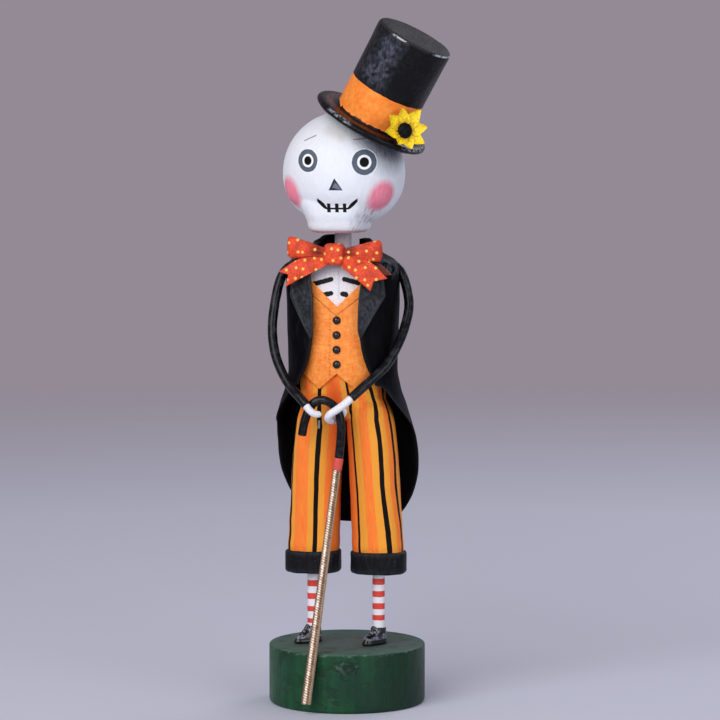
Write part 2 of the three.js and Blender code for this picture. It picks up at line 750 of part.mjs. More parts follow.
// Turn that stands the hat's axis the way it leans, seen from a little to the figure's left.
function hatPlacement() {
	const seen = THREE.MathUtils.degToRad(HAT.seen);
	const side = THREE.MathUtils.degToRad(HAT.side);
	const forward = THREE.MathUtils.degToRad(HAT.forward);
	const across = new THREE.Vector3(Math.cos(seen), Math.sin(seen), 0);
	const towards = new THREE.Vector3(Math.sin(seen), -Math.cos(seen), 0);
	const up = new THREE.Vector3(0, 0, Math.cos(side) * Math.cos(forward))
		.addScaledVector(across, Math.sin(side) * Math.cos(forward))
		.addScaledVector(towards, Math.sin(forward));
	const right = new THREE.Vector3().crossVectors(towards.clone().negate(), up).normalize();
	const back = new THREE.Vector3().crossVectors(up, right);
	return new THREE.Matrix4().makeBasis(right, back, up).setPosition(new THREE.Vector3(...HAT.centre));
}

function makeHat() {
	const skull = new THREE.SphereGeometry(HEAD.radius + GAP, 24, 14).translate(HEAD.x, HEAD.y, HEAD.z);
	const hat = turned(hatProfile(0), 32).applyMatrix4(hatPlacement());
	return geometryOf(solid(hat).subtract(solid(skull)));
}

// Petal with a pointed tip, lying along +X on the plane z = 0 and cupped upwards.
function makePetal(length) {
	const { petalHalf, petalThickness } = FLOWER;
	return loft(PETAL_ROWS.map((row) => ovalRing(
		{ x: 0, y: 0, a: row.half * petalHalf, front: petalThickness, back: petalThickness, power: 2 },
		row.along * length,
		6,
	).map((p) => new THREE.Vector3(p.z, p.x, p.y + row.lift))));
}

function makeSunflower() {
	const [turn, face, tilt] = [FLOWER.turn, FLOWER.face, FLOWER.tilt].map(THREE.MathUtils.degToRad);
	let shape = solid(turned(FLOWER_DISC, 10));
	for (const petal of PETALS) {
		shape = shape.add(solid(makePetal(petal.length).rotateZ(THREE.MathUtils.degToRad(petal.turn))));
	}
	const out = HAT.waistRadius + FLOWER.standOff;
	const placed = geometryOf(shape)
		.rotateX(Math.PI / 2 - tilt)
		.rotateZ(face)
		.translate(out * Math.sin(turn), -out * Math.cos(turn), FLOWER.rise)
		.applyMatrix4(hatPlacement());
	const clear = turned(hatProfile(GAP), 32).applyMatrix4(hatPlacement());
	return geometryOf(solid(placed).subtract(solid(clear)));
}

// Straight tapered rod between two points, cut square at both ends.
function taper(from, to, startRadius, endRadius, sides) {
	const start = new THREE.Vector3(...from);
	const line = new THREE.Vector3(...to).sub(start);
	const profile = [[0, 0], [startRadius, 0], [endRadius, line.length()], [0, line.length()]];
	const turn = new THREE.Quaternion().setFromUnitVectors(new THREE.Vector3(0, 0, 1), line.clone().normalize());
	return turned(profile, sides).applyQuaternion(turn).translate(start.x, start.y, start.z);
}

// Ends of a stretch between two points, drawn in a little at both ends.
function drawnIn(from, to, amount) {
	const start = new THREE.Vector3(...from);
	const end = new THREE.Vector3(...to);
	const step = end.clone().sub(start).setLength(amount);
	return [start.add(step).toArray(), end.sub(step).toArray()];
}

const figure = new THREE.Group();

function place(name, geometry, colour, roughness, metalness = 0) {
	const material = new THREE.MeshStandardMaterial({ color: colour, roughness, metalness });
	const mesh = new THREE.Mesh(geometry, material);
	mesh.name = name;
	figure.add(mesh);
	return mesh;
}

place('base', makeBase(), COLOUR.green, 0.5);
for (const [name, side] of [['right', -1], ['left', 1]]) {
	const shoe = place(`shoe_${name}`, makeShoe(), COLOUR.black, 0.2);
	shoe.position.set(side * LEG.spread, MID.y, 0);
	shoe.rotation.z = side * THREE.MathUtils.degToRad(SHOE.toeOut[name]);
	const leg = place(`leg_${name}`, makeLeg(), COLOUR.stripedLeg, 0.5);
	leg.position.set(side * LEG.spread, MID.y, 0);
}
place('body', makeBody(), COLOUR.orange, 0.5);
for (let i = 0; i < BUTTON.count; i += 1) {
	const z = BUTTON.first - i * BUTTON.pitch;
	const button = place(`button_${i + 1}`, makeButton(), COLOUR.black, 0.2);
	button.position.set(BUTTON.x, MID.y - torsoSection(z, WAISTCOAT.proud).front - GAP, z);
	button.rotation.x = Math.PI / 2;
}
place('tailcoat', makeTailcoat(), COLOUR.coat, 0.45);
place('bow_tie', makeBowTie(), COLOUR.bow, 0.5);
place('head', makeHead(), COLOUR.bone, 0.55);
place('hat', makeHat(), COLOUR.hat, 0.4);
place('sunflower', makeSunflower(), COLOUR.petal, 0.45);
place('arm_right', makeArm(ARM_RIGHT), COLOUR.black, 0.4);
place('arm_left', makeArm(ARM_LEFT), COLOUR.black, 0.4);
place('hand_right', tube(HAND_RIGHT, HAND_RADIUS.right, 8, 8), COLOUR.bone, 0.5);
place('hand_left', tube(HAND_LEFT, HAND_RADIUS.left, 8, 14), COLOUR.bone, 0.5);
place('cane_crook', tube(CROOK, CROOK_RADIUS, 8, 20), COLOUR.black, 0.35);
const [ferruleTop, ferruleBottom] = drawnIn(CROOK.at(-1), SHAFT.top, GAP);
place('cane_ferrule', taper(ferruleTop, ferruleBottom, FERRULE_RADIUS, FERRULE_RADIUS, 12), COLOUR.red, 0.4);
const shaft = taper(SHAFT.top, SHAFT.tip, SHAFT.topRadius, SHAFT.tipRadius, 12);
place('cane_shaft', shaft, COLOUR.gilt, 0.35, 0.8);

export default figure;
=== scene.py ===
"""Looks of the skeleton gentleman figurine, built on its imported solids.

Tables are in millimetres and meshes in metres. The figure faces -Y and +Z is up.
Left and right are the figure's own, so its left is on +X.
"""

import logging
import math
from collections.abc import Callable, Sequence
from dataclasses import dataclass, field
from enum import Enum
from functools import cached_property, partial, reduce

import bpy
from mathutils import Matrix, Vector
from mathutils.kdtree import KDTree


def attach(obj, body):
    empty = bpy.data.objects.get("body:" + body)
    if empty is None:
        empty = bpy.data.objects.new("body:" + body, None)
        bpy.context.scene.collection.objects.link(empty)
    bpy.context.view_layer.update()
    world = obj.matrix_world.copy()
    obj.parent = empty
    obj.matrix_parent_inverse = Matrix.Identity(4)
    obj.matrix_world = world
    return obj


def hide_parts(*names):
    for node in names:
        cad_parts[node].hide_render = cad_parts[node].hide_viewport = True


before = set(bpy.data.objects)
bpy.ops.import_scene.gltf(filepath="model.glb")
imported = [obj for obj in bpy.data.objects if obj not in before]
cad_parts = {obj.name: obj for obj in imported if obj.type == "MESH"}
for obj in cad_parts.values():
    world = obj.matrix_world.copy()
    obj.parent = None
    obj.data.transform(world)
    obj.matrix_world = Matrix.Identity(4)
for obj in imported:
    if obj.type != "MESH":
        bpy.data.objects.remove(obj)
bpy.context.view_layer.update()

MM = 0.001
Colour = tuple[float, float, float]
Row = Sequence[float]
Table = Sequence[Row]
Place = Callable[[float, float], Vector]
Ring = Callable[[float], Vector]
Piece = bpy.types.Object
Material = bpy.types.Material

log = logging.getLogger("figurine")


class Slot(Enum):
    """Finishes that the record names."""

    GREEN = "green_paint"
    GLOSS = "black_gloss"
    SOCK = "striped_leg"
    BODY = "painted_body"
    COAT = "coat_paint"
    BOW = "bow_paint"
    BONE = "bone_paint"
    HAT = "hat_paint"
    FLOWER = "flower_paint"
    ARM = "arm_paint"
    RED = "red_paint"
    GILT = "gilt"


# Shaping by numbers.


def clamp(value: float, low: float = 0.0, high: float = 1.0) -> float:
    """Keep a number between two limits."""
    return max(low, min(high, value))


def ease(value: float, low: float, high: float) -> float:
    """Rise smoothly from 0 at low to 1 at high."""
    t = clamp((value - low) / (high - low))
    return t * t * (3 - 2 * t)


def lerp(a: float, b: float, t: float) -> float:
    """Blend two numbers."""
    return a + (b - a) * t


def track(rows: Table, column: int) -> Callable[[float], float]:
    """Make a smooth rise through a table, with no overshoot.

    Args:
        rows: Rows whose first number is the key, in rising order.
        column: Which number of a row to follow.

    Returns:
        A function from a key to the column's value.
    """
    keys = [row[0] for row in rows]
    values = [row[column] for row in rows]
    last = len(rows) - 1
    slopes = [(values[i + 1] - values[i]) / (keys[i + 1] - keys[i]) for i in range(last)]

    def tangent(i: int) -> float:
        """Give the slope at a row.

        Args:
            i: The row.

        Returns:
            The slope, which is 0 where the table turns.
        """
        if i == 0:
            return slopes[0]
        if i == last:
            return slopes[-1]
        before, after = slopes[i - 1], slopes[i]
        return 0.0 if before * after <= 0 else 2 * before * after / (before + after)

    def at(key: float) -> float:
        """Follow the column.

        Args:
            key: Where to look.

        Returns:
            The value there.
        """
        key = clamp(key, keys[0], keys[-1])
        i = 0
        while i < last - 1 and key > keys[i + 1]:
            i += 1
        width = keys[i + 1] - keys[i]
        t = (key - keys[i]) / width
        rise = t * t * (3 - 2 * t)
        bend = width * t * (1 - t) * ((1 - t) * tangent(i) - t * tangent(i + 1))
        return values[i] * (1 - rise) + values[i + 1] * rise + bend

    return at


@dataclass(frozen=True)
class Section:
    """A level slice: a squarish oval with its own depth in front and behind."""

    x: float
    y: float
    half: float
    front: float
    back: float
    power: float = 2.0

    def point(self, turn: float, z: float) -> Vector:
        """Give the point at a turn from the side (0) towards the back.

        Args:
            turn: Angle in radians.
            z: Height of the slice.

        Returns:
            The point in millimetres.
        """
        c, s = math.cos(turn), math.sin(turn)
        depth = self.front if s < 0 else self.back
        across = math.copysign(abs(c) ** (2 / self.power), c)
        along = math.copysign(abs(s) ** (2 / self.power), s)
        return Vector((self.x + self.half * across, self.y + depth * along, z))

    def front_at(self, x: float, z: float) -> Vector:
        """Give the point of the front face at a place across."""
        share = clamp(abs(x - self.x) / self.half)
        return Vector((x, self.y - self.front * (1 - share**self.power) ** (1 / self.power), z))


class Line:
    """A smooth line through given points, followed by its length."""

    STEPS = 24

    def __init__(self, points: Table) -> None:
        """Sample the line.

        Args:
            points: Points in millimetres that the line goes through.
        """
        marks = [Vector(p) for p in points]
        marks = [marks[0] * 2 - marks[1], *marks, marks[-1] * 2 - marks[-2]]
        self.samples: list[Vector] = []
        for i in range(1, len(marks) - 2):
            stretch = marks[i - 1 : i + 3]
            self.samples += [self._between(stretch, k / self.STEPS) for k in range(self.STEPS)]
        self.samples.append(marks[-2])
        self.reach = [0.0]
        for a, b in zip(self.samples, self.samples[1:]):
            self.reach.append(self.reach[-1] + (b - a).length)
        self.length = self.reach[-1]

    @staticmethod
    def _between(marks: Sequence[Vector], t: float) -> Vector:
        """Follow one centripetal stretch from its second to its third mark.

        Args:
            marks: Four marks in a row.
            t: Share of the middle stretch.

        Returns:
            The point.
        """
        p0, p1, p2, p3 = marks
        d0, d1, d2 = ((b - a).length ** 0.5 for a, b in zip(marks, marks[1:]))
        t1 = ((p1 - p0) / d0 - (p2 - p0) / (d0 + d1) + (p2 - p1) / d1) * d1
        t2 = ((p2 - p1) / d1 - (p3 - p1) / (d1 + d2) + (p3 - p2) / d2) * d1
        turn = (p2 - p1) * 3 - t1 * 2 - t2
        close = (p1 - p2) * 2 + t1 + t2
        return p1 + t1 * t + turn * t * t + close * t * t * t

    def at(self, share: float) -> Vector:
        """Give the point at a share of the length.

        Args:
            share: Share of the length.

        Returns:
            The point.
        """
        goal = clamp(share) * self.length
        i = 1
        while i < len(self.reach) - 1 and self.reach[i] < goal:
            i += 1
        step = self.reach[i] - self.reach[i - 1]
        return self.samples[i - 1].lerp(self.samples[i], (goal - self.reach[i - 1]) / step)


# Modelling by hand in edit mode.


def lay_down() -> None:
    """Leave edit mode and select nothing."""
    if bpy.context.mode != "OBJECT":
        bpy.ops.object.mode_set(mode="OBJECT")
    bpy.ops.object.select_all(action="DESELECT")


def take_up(piece: Piece) -> None:
    """Make one piece the only one selected.

    Args:
        piece: The piece.
    """
    lay_down()
    piece.select_set(True)
    bpy.context.view_layer.objects.active = piece


def modify(piece: Piece, kind: str, **settings: object) -> None:
    """Add a modifier and apply it.

    Args:
        piece: The piece to change.
        kind: The modifier's type.
        settings: The modifier's own settings.
    """
    take_up(piece)
    modifier = piece.modifiers.new(kind.title(), kind)
    for name, value in settings.items():
        setattr(modifier, name, value)
    bpy.ops.object.modifier_apply(modifier=modifier.name)


def face_outwards(piece: Piece) -> None:
    """Merge doubled points and turn the faces outwards.

    Args:
        piece: The piece to mend.
    """
    take_up(piece)
    bpy.ops.object.mode_set(mode="EDIT")
    bpy.ops.mesh.select_all(action="SELECT")
    bpy.ops.mesh.remove_doubles(threshold=1e-6)
    bpy.ops.mesh.normals_make_consistent(inside=False)
    bpy.ops.object.mode_set(mode="OBJECT")


def shade(piece: Piece, angle: float = 40.0) -> None:
    """Shade a piece smooth, except over edges sharper than an angle."""
    take_up(piece)
    bpy.ops.object.shade_smooth_by_angle(angle=math.radians(angle))


def join(parts: Sequence[Piece]) -> Piece:
    """Make several pieces one mesh.

    Args:
        parts: The pieces, of which the first one stays.

    Returns:
        The joined piece.
    """
    take_up(parts[0])
    for part in parts:
        part.select_set(True)
    if len(parts) > 1:
        bpy.ops.object.join()
    return parts[0]


def ring_stack(sides: int, rings: Sequence[Ring]) -> Piece:
    """Extrude a circle into a closed stack of rings and set the rings' points.

    Args:
        sides: Points in each ring.
        rings: Each gives its own point at a turn.

    Returns:
        The shaped piece.
    """
    lay_down()
    bpy.ops.mesh.primitive_circle_add(vertices=sides, radius=1.0, fill_type="NGON")
    piece = bpy.context.object
    bpy.ops.object.mode_set(mode="EDIT")
    bpy.ops.mesh.select_all(action="SELECT")
    for _ in rings[1:]:
        bpy.ops.mesh.extrude_region_move(TRANSFORM_OT_translate={"value": (0.0, 0.0, 1.0)})
    bpy.ops.object.mode_set(mode="OBJECT")
    for point in piece.data.vertices:
        ring = rings[round(point.co.z)]
        point.co = ring(math.atan2(point.co.y, point.co.x)) * MM
    face_outwards(piece)
    return piece


def turned(profile: Table, sides: int) -> Piece:
    """Extrude a profile point by point and spin it about the vertical.

    Args:
        profile: Pairs of radius and height, from the axis back to the axis.
        sides: Steps of the spin.

    Returns:
        The closed turned piece.
    """
    lay_down()
    bpy.ops.mesh.primitive_plane_add(size=MM)
    piece = bpy.context.object
    bpy.ops.object.mode_set(mode="EDIT")
    bpy.ops.mesh.select_all(action="SELECT")
    bpy.ops.mesh.merge(type="CENTER")
    marks = [Vector((radius, 0.0, height)) * MM for radius, height in profile]
    bpy.ops.transform.translate(value=marks[0])
    for before, after in zip(marks, marks[1:]):
        bpy.ops.mesh.extrude_region_move(TRANSFORM_OT_translate={"value": after - before})
    bpy.ops.mesh.select_all(action="SELECT")
    bpy.ops.mesh.spin(steps=sides, angle=math.tau, center=(0, 0, 0), axis=(0, 0, 1))
    bpy.ops.object.mode_set(mode="OBJECT")
    face_outwards(piece)
    return piece


def patch(columns: int, rows: int, place: Place) -> Piece:
    """Lay a grid's points on a surface.

    Args:
        columns: Faces across.
        rows: Faces along.
        place: Gives a point from -1 to 1 across and from 0 to 1 along.

    Returns:
        The open patch.
    """
    lay_down()
    bpy.ops.mesh.primitive_grid_add(x_subdivisions=columns, y_subdivisions=rows, size=2.0)
    piece = bpy.context.object
    for point in piece.data.vertices:
        point.co = place(point.co.x, (point.co.y + 1) / 2) * MM
    return piece


def sheet(columns: int, rows: int, outer: Place, inner: Place, edge: float = 0.3) -> Piece:
    """Lay two grids on the two sides of a sheet, bridge their rims and round the rim off.

    Args:
        columns: Faces across.
        rows: Faces along.
        outer: Places the outer side, as patch does.
        inner: Places the inner side, as patch does.
        edge: How far the rim is rounded, in millimetres.

    Returns:
        The closed sheet.
    """
    piece = join([patch(columns, rows, outer), patch(columns, rows, inner)])
    bpy.ops.object.mode_set(mode="EDIT")
    bpy.ops.mesh.select_mode(type="EDGE")
    bpy.ops.mesh.select_all(action="DESELECT")
    bpy.ops.mesh.select_non_manifold(
        use_wire=False, use_multi_face=False, use_non_contiguous=False, use_verts=False
    )
    bpy.ops.mesh.bridge_edge_loops()
    bpy.ops.mesh.select_mode(type="VERT")
    bpy.ops.object.mode_set(mode="OBJECT")
    face_outwards(piece)
    modify(piece, "BEVEL", width=edge * MM, segments=2, limit_method="ANGLE", angle_limit=0.9)
    return piece


def hoop(centre: Vector, a: Vector, b: Vector, radius: float, turn: float) -> Vector:
    """Give a circle's point at a turn from one of its spokes towards another."""
    return centre + (a * math.cos(turn) + b * math.sin(turn)) * radius


def tube(line: Line, rings: Table, sides: int = 20) -> Piece:
    """Run a round section along a line.

    Args:
        line: The middle line.
        rings: Pairs of a share of the length and the radius there.
        sides: Points round the section.

    Returns:
        The closed tube.
    """
    ways = [(line.at(share + 0.01) - line.at(share - 0.01)).normalized() for share, _ in rings]
    across = ways[0].orthogonal().normalized()
    hoops = []
    for way, (share, radius) in zip(ways, rings):
        across = (across - way * across.dot(way)).normalized()
        spokes = (across.copy(), way.cross(across))
        hoops.append(partial(hoop, line.at(share), *spokes, radius))
    return ring_stack(sides, hoops)


def stations(line: Line, radii: tuple[float, float], rows: int, ends: tuple[float, float]) -> Table:
    """Space the rings of a tube along its line, with both ends rounded off.

    Args:
        line: The middle line.
        radii: Radius at the start and at the end.
        rows: Steps between the rounded ends.
        ends: How far each end is rounded, in millimetres.

    Returns:
        Pairs of a share of the length and the radius there.
    """
    spots = []
    for end, last in zip(ends, (False, True)):
        for angle in (85, 60, 35, 10):
            a = math.radians(angle)
            share = end * (1 - math.sin(a)) / line.length
            share = 1 - share if last else share
            spots.append((share, lerp(*radii, share) - end * (1 - math.cos(a))))
    low, high = 1.2 * ends[0] / line.length, 1 - 1.2 * ends[1] / line.length
    for i in range(rows + 1):
        share = lerp(low, high, i / rows)
        spots.append((share, lerp(*radii, share)))
    return sorted(spots)


def weld(parts: Sequence[Piece], voxel: float, smoothing: int) -> Piece:
    """Grow several solids into one skin.

    Args:
        parts: Closed pieces that overlap.
        voxel: Size of the new faces, in millimetres.
        smoothing: Rounds of smoothing.

    Returns:
        The welded piece.
    """
    piece = join(parts)
    modify(piece, "REMESH", mode="VOXEL", voxel_size=voxel * MM, adaptivity=0.0)
    modify(piece, "SMOOTH", factor=0.5, iterations=smoothing)
    return piece


def roughen(piece: Piece, grain: float, strength: float) -> None:
    """Push the skin in and out a little, as shaping by hand leaves it.

    Args:
        piece: The piece to change.
        grain: Size of the lumps, in millimetres.
        strength: How far they stand out, in millimetres.
    """
    texture = bpy.data.textures.new("hand_" + piece.name, "CLOUDS")
    texture.noise_scale = grain * MM
    texture.noise_depth = 1
    modify(piece, "DISPLACE", texture=texture, texture_coords="LOCAL", strength=strength * MM)


def enrol(piece: Piece, name: str, nodes: Sequence[str], slot: Slot, finish: "Finish") -> None:
    """Name and dress a piece, and tie it to the solids that it stands for.

    Args:
        piece: The finished mesh.
        name: Its name.
        nodes: The solids it stands for.
        slot: The record's finish, which is not used.
        finish: The paint that it gets.
    """
    piece.name = name
    piece.data.name = name
    piece.data.materials.clear()
    piece.data.materials.append(finish.material)
    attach(piece, "root")
    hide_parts(*nodes)
    log.info("%s has %d faces", name, len(piece.data.polygons))


# Mixing paint, whose colours are six-figure codes.

WHITE = "e9e8ec"

# Turn from the front towards the figure's left, from where its face and hat are laid out, and
# the level directions across and ahead from there.
SEEN_FROM = math.radians(10.0)
ACROSS = Vector((math.cos(SEEN_FROM), math.sin(SEEN_FROM), 0.0))
AHEAD = Vector((-math.sin(SEEN_FROM), math.cos(SEEN_FROM), 0.0))


def tint(code: str) -> Colour:
    """Turn a six-figure paint code into the shader's own scale."""
    shares = [int(code[i : i + 2], 16) / 255 for i in (0, 2, 4)]
    return tuple(s / 12.92 if s <= 0.04045 else ((s + 0.055) / 1.055) ** 2.4 for s in shares)


class Tone:
    """A socket that takes part in Python sums."""

    def __init__(self, palette: "Palette", socket: bpy.types.NodeSocket) -> None:
        """Keep a socket and the palette it belongs to."""
        self.palette = palette
        self.socket = socket

    def maths(
        self, operation: str, *others: "Tone | float", first: "Tone | float | None" = None
    ) -> "Tone":
        """Add a Math node that takes this socket, or another first value, and then the others."""
        values = dict(enumerate([self if first is None else first, *others]))
        return self.palette.node("ShaderNodeMath", {"operation": operation}, values)

    def __add__(self, other: "Tone | float") -> "Tone":
        """Add."""
        return self.maths("ADD", other)

    __radd__ = __add__

    def __mul__(self, other: "Tone | float") -> "Tone":
        """Multiply."""
        return self.maths("MULTIPLY", other)

    __rmul__ = __mul__

    def __sub__(self, other: "Tone | float") -> "Tone":
        """Take away."""
        return self.maths("SUBTRACT", other)

    def __rsub__(self, other: float) -> "Tone":
        """Take this away from a number."""
        return self.maths("SUBTRACT", self, first=other)

    def __truediv__(self, other: "Tone | float") -> "Tone":
        """Divide."""
        return self.maths("DIVIDE", other)

    def __abs__(self) -> "Tone":
        """Drop the sign."""
        return self.maths("ABSOLUTE")

    def least(self, other: "Tone | float") -> "Tone":
        """Take the smaller."""
        return self.maths("MINIMUM", other)

    def most(self, other: "Tone | float") -> "Tone":
        """Take the larger."""
        return self.maths("MAXIMUM", other)

    def root(self) -> "Tone":
        """Take the square root."""
        return self.maths("SQRT")

    def powers(self, *terms: float) -> "Tone":
        """Sum the powers of this, down to the constant."""
        start = self * terms[0] + terms[1]
        return reduce(lambda total, term: total * self + term, terms[2:], start)

    def held(self) -> "Tone":
        """Keep between 0 and 1."""
        return self.most(0.0).least(1.0)

    def below(self, edge: "Tone | float", soft: float = 0.08) -> "Tone":
        """Be 1 where this is less than an edge, over a soft width."""
        return ((edge - self) / soft + 0.5).held()

    def above(self, edge: "Tone | float", soft: float = 0.08) -> "Tone":
        """Be 1 where this is more than an edge, over a soft width."""
        return ((self - edge) / soft + 0.5).held()

    def within(self, low: float, high: float, soft: float = 0.08) -> "Tone":
        """Be 1 between two edges, each over a soft width."""
        return self.above(low, soft) * self.below(high, soft)


Paint = Tone | Colour | str


class Palette:
    """The nodes of one material."""

    def __init__(self, name: str) -> None:
        """Start a material whose patterns are in millimetres of the piece's own place.

        Args:
            name: The material's name.
        """
        self.result = bpy.data.materials.new(name)
        self.result.use_nodes = True
        self.tree = self.result.node_tree
        self.tree.nodes.clear()
        place = self.node("ShaderNodeTexCoord", output="Object")
        self.point = self.node(
            "ShaderNodeVectorMath", {"operation": "SCALE"}, {"Vector": place, "Scale": 1000.0}
        )
        self.x, self.y, self.z = self.axes(self.point)

    def node(
        self,
        kind: str,
        settings: dict[str, object] | None = None,
        inputs: dict[str | int, object] | None = None,
        output: str | int = 0,
    ) -> Tone:
        """Add any node.

        Args:
            kind: The node's type.
            settings: Its settings.
            inputs: Values, paint codes or tones for its sockets, by name or number.
            output: Which output to give.

        Returns:
            The output as a tone.
        """
        node = self.tree.nodes.new(kind)
        for name, value in (settings or {}).items():
            setattr(node, name, value)
        for key, value in (inputs or {}).items():
            socket = node.inputs[key]
            value = tint(value) if isinstance(value, str) else value
            if isinstance(value, Tone):
                self.tree.links.new(value.socket, socket)
            elif isinstance(value, tuple) and len(value) == 3 and socket.type == "RGBA":
                socket.default_value = (*value, 1.0)
            else:
                socket.default_value = value
        return Tone(self, node.outputs[output])

    def steps(self, place: Tone, stops: Sequence[tuple[float, str]]) -> Tone:
        """Change colour in steps.

        Args:
            place: Where to look, from 0 to 1.
            stops: Start and colour of each step.

        Returns:
            The colour there.
        """
        colour = self.node("ShaderNodeValToRGB", inputs={0: place})
        ramp = colour.socket.node.color_ramp
        ramp.interpolation = "CONSTANT"
        while len(ramp.elements) > 1:
            ramp.elements.remove(ramp.elements[-1])
        for i, (start, code) in enumerate(stops):
            element = ramp.elements[0] if i == 0 else ramp.elements.new(start)
            element.position = start
            element.color = (*tint(code), 1.0)
        return colour

    def axes(self, vector: Tone) -> tuple[Tone, Tone, Tone]:
        """Split a vector into its three numbers."""
        outputs = self.node("ShaderNodeSeparateXYZ", inputs={0: vector}).socket.node.outputs
        return tuple(Tone(self, output) for output in outputs)

    def place(self, operation: str, other: Row, output: str | int) -> Tone:
        """Set the place against a vector."""
        inputs = {0: self.point, 1: tuple(other)}
        return self.node("ShaderNodeVectorMath", {"operation": operation}, inputs, output)

    def along(self, origin: Vector, way: Vector) -> Tone:
        """Measure the place along a direction from a point."""
        return self.place("DOT_PRODUCT", way, "Value") - origin.dot(way)

    def away(self, centre: Row) -> Tone:
        """Measure how far the place is from a point."""
        return self.place("DISTANCE", centre, "Value")

    def noise(self, grain: float, detail: float = 2.0, stretch: Colour = (1.0, 1.0, 1.0)) -> Tone:
        """Make lumps of a grain in millimetres, finer along each axis by its stretch."""
        return self._lumps(self.place("MULTIPLY", [s / grain for s in stretch], 0), detail)

    def _lumps(self, place: Tone, detail: float) -> Tone:
        """Make noise at a place."""
        inputs = {"Vector": place, "Scale": 1.0, "Detail": detail}
        return self.node("ShaderNodeTexNoise", inputs=inputs)

    def brushed(self, across: Tone, along: Tone, detail: float) -> Tone:
        """Make lumps that follow brush marks of any slant."""
        return self._lumps(self.flat(across, along), detail)

    def flat(self, across: Tone, along: Tone) -> Tone:
        """Make a vector from two measures."""
        return self.node("ShaderNodeCombineXYZ", inputs={0: across, 1: along})

    def noted(self, name: str) -> Tone:
        """Read a number noted at the points of a mesh."""
        return self.node("ShaderNodeAttribute", {"attribute_name": name}, output="Fac")

    def mix(self, share: Tone | float, under: Paint, over: Paint) -> Tone:
        """Lay one colour over another."""
        inputs = {0: share, 6: under, 7: over}
        return self.node("ShaderNodeMix", {"data_type": "RGBA"}, inputs, output=2)

    def coats(self, colour: Paint, *layers: tuple[Tone | float, Paint]) -> Paint:
        """Lay one coat after another over a colour.

        Args:
            colour: The ground colour.
            layers: The share that each coat covers, and its colour.

        Returns:
            The colour on top.
        """
        for share, over in layers:
            colour = self.mix(share, colour, over)
        return colour

    def stroke(self, a: Row, b: Row, across: Tone, up: Tone) -> Tone:
        """Measure how far the place is from a straight brush stroke.

        Args:
            a: One end, across and up.
            b: The other end.
            across: The place across.
            up: The place up.

        Returns:
            The distance in millimetres.
        """
        dx, dy = b[0] - a[0], b[1] - a[1]
        size = dx * dx + dy * dy
        t = (((across - a[0]) * dx + (up - a[1]) * dy) / size).held()
        ex = across - a[0] - t * dx
        ey = up - a[1] - t * dy
        return (ex * ex + ey * ey).root()

    def finish(
        self,
        colour: Paint,
        roughness: Tone | float,
        height: Tone | None = None,
        metallic: Tone | float = 0.0,
        coat: float = 0.0,
        specular: float = 0.5,
        alpha: Tone | float = 1.0,
    ) -> Material:
        """Wire up the shader.

        Args:
            colour: The paint's colour.
            roughness: How dull it is.
            height: Relief in millimetres.
            metallic: How metallic it is.
            coat: How much clear gloss lies on top.
            specular: Strength of the paint's own gloss.
            alpha: How much of it is there.

        Returns:
            The material.
        """
        inputs: dict[str | int, object] = {
            "Base Color": colour,
            "Roughness": roughness,
            "Metallic": metallic,
            "Coat Weight": coat,
            "Coat Roughness": 0.12,
            "Specular IOR Level": specular,
            "Alpha": alpha,
        }
        if height is not None:
            inputs["Normal"] = self.node(
                "ShaderNodeBump", inputs={"Strength": 1.0, "Distance": MM, "Height": height}
            )
        shader = self.node("ShaderNodeBsdfPrincipled", inputs=inputs)
        target = self.tree.nodes.new("ShaderNodeOutputMaterial")
        self.tree.links.new(shader.socket, target.inputs["Surface"])
        return self.result


class Finish:
    """A paint that makes its material once."""

    @cached_property
    def material(self) -> Material:
        """Give the material, mixed the first time it is asked for."""
        return self.mixed()

    def mixed(self) -> Material:
        """Mix the paint."""
        raise NotImplementedError


# Slices that several pieces lie against.

MID_X = -0.9
MID_Y = -2.0


class Slices:
    """Level slices of a form whose table gives height, half width and depths."""

    def __init__(self, rows: Table, power: float = 2.4) -> None:
        """Follow a table of height, half width, depths and maybe squareness."""
        self.tracks = [track(rows, i) for i in (1, 2, 3)]
        self.power = track(rows, 4) if len(rows[0]) > 4 else lambda z: power

    def at(self, z: float, grow: float = 0.0) -> Section:
        """Give the slice at a height, grown outwards."""
        sizes = (follow(z) + grow for follow in self.tracks)
        return Section(MID_X, MID_Y, *sizes, self.power(z))


TORSO = Slices(
    [
        (93.5, 10.5, 6.5, 6.5), (97.0, 13.8, 9.8, 9.0), (106.0, 14.2, 10.9, 9.2),
        (118.0, 14.5, 11.4, 9.2), (130.0, 14.9, 11.0, 9.4), (138.0, 15.0, 10.7, 9.4),
        (142.0, 13.9, 10.2, 8.8), (145.0, 10.6, 9.2, 7.2), (147.2, 6.0, 7.0, 5.0),
        (148.4, 3.0, 3.0, 3.0),
    ]
)

COAT_ROWS = [
    (56.0, 24.9, 15.2, 20.4, 3.1), (66.0, 25.4, 15.2, 20.2, 3.1), (73.0, 25.4, 15.2, 19.4, 3.1),
    (80.0, 24.8, 15.2, 18.0, 3.0), (87.0, 23.7, 15.1, 16.4, 2.9), (92.0, 22.4, 15.0, 15.2, 2.8),
    (98.5, 20.6, 14.9, 13.8, 2.6), (104.0, 18.9, 14.8, 12.9, 2.4),
    (110.0, 17.8, 14.8, 12.7, 2.4), (118.0, 17.9, 14.9, 12.7, 2.4),
    (130.0, 18.3, 14.5, 12.8, 2.4), (138.0, 18.5, 13.8, 12.8, 2.4),
    (142.5, 18.5, 13.4, 12.5, 2.4), (145.4, 16.9, 12.8, 11.4, 2.4),
    (147.6, 13.2, 11.4, 9.8, 2.3), (149.4, 10.4, 9.6, 8.6, 2.1), (152.2, 9.4, 8.8, 7.8, 2.0),
]
COAT = Slices(COAT_ROWS)

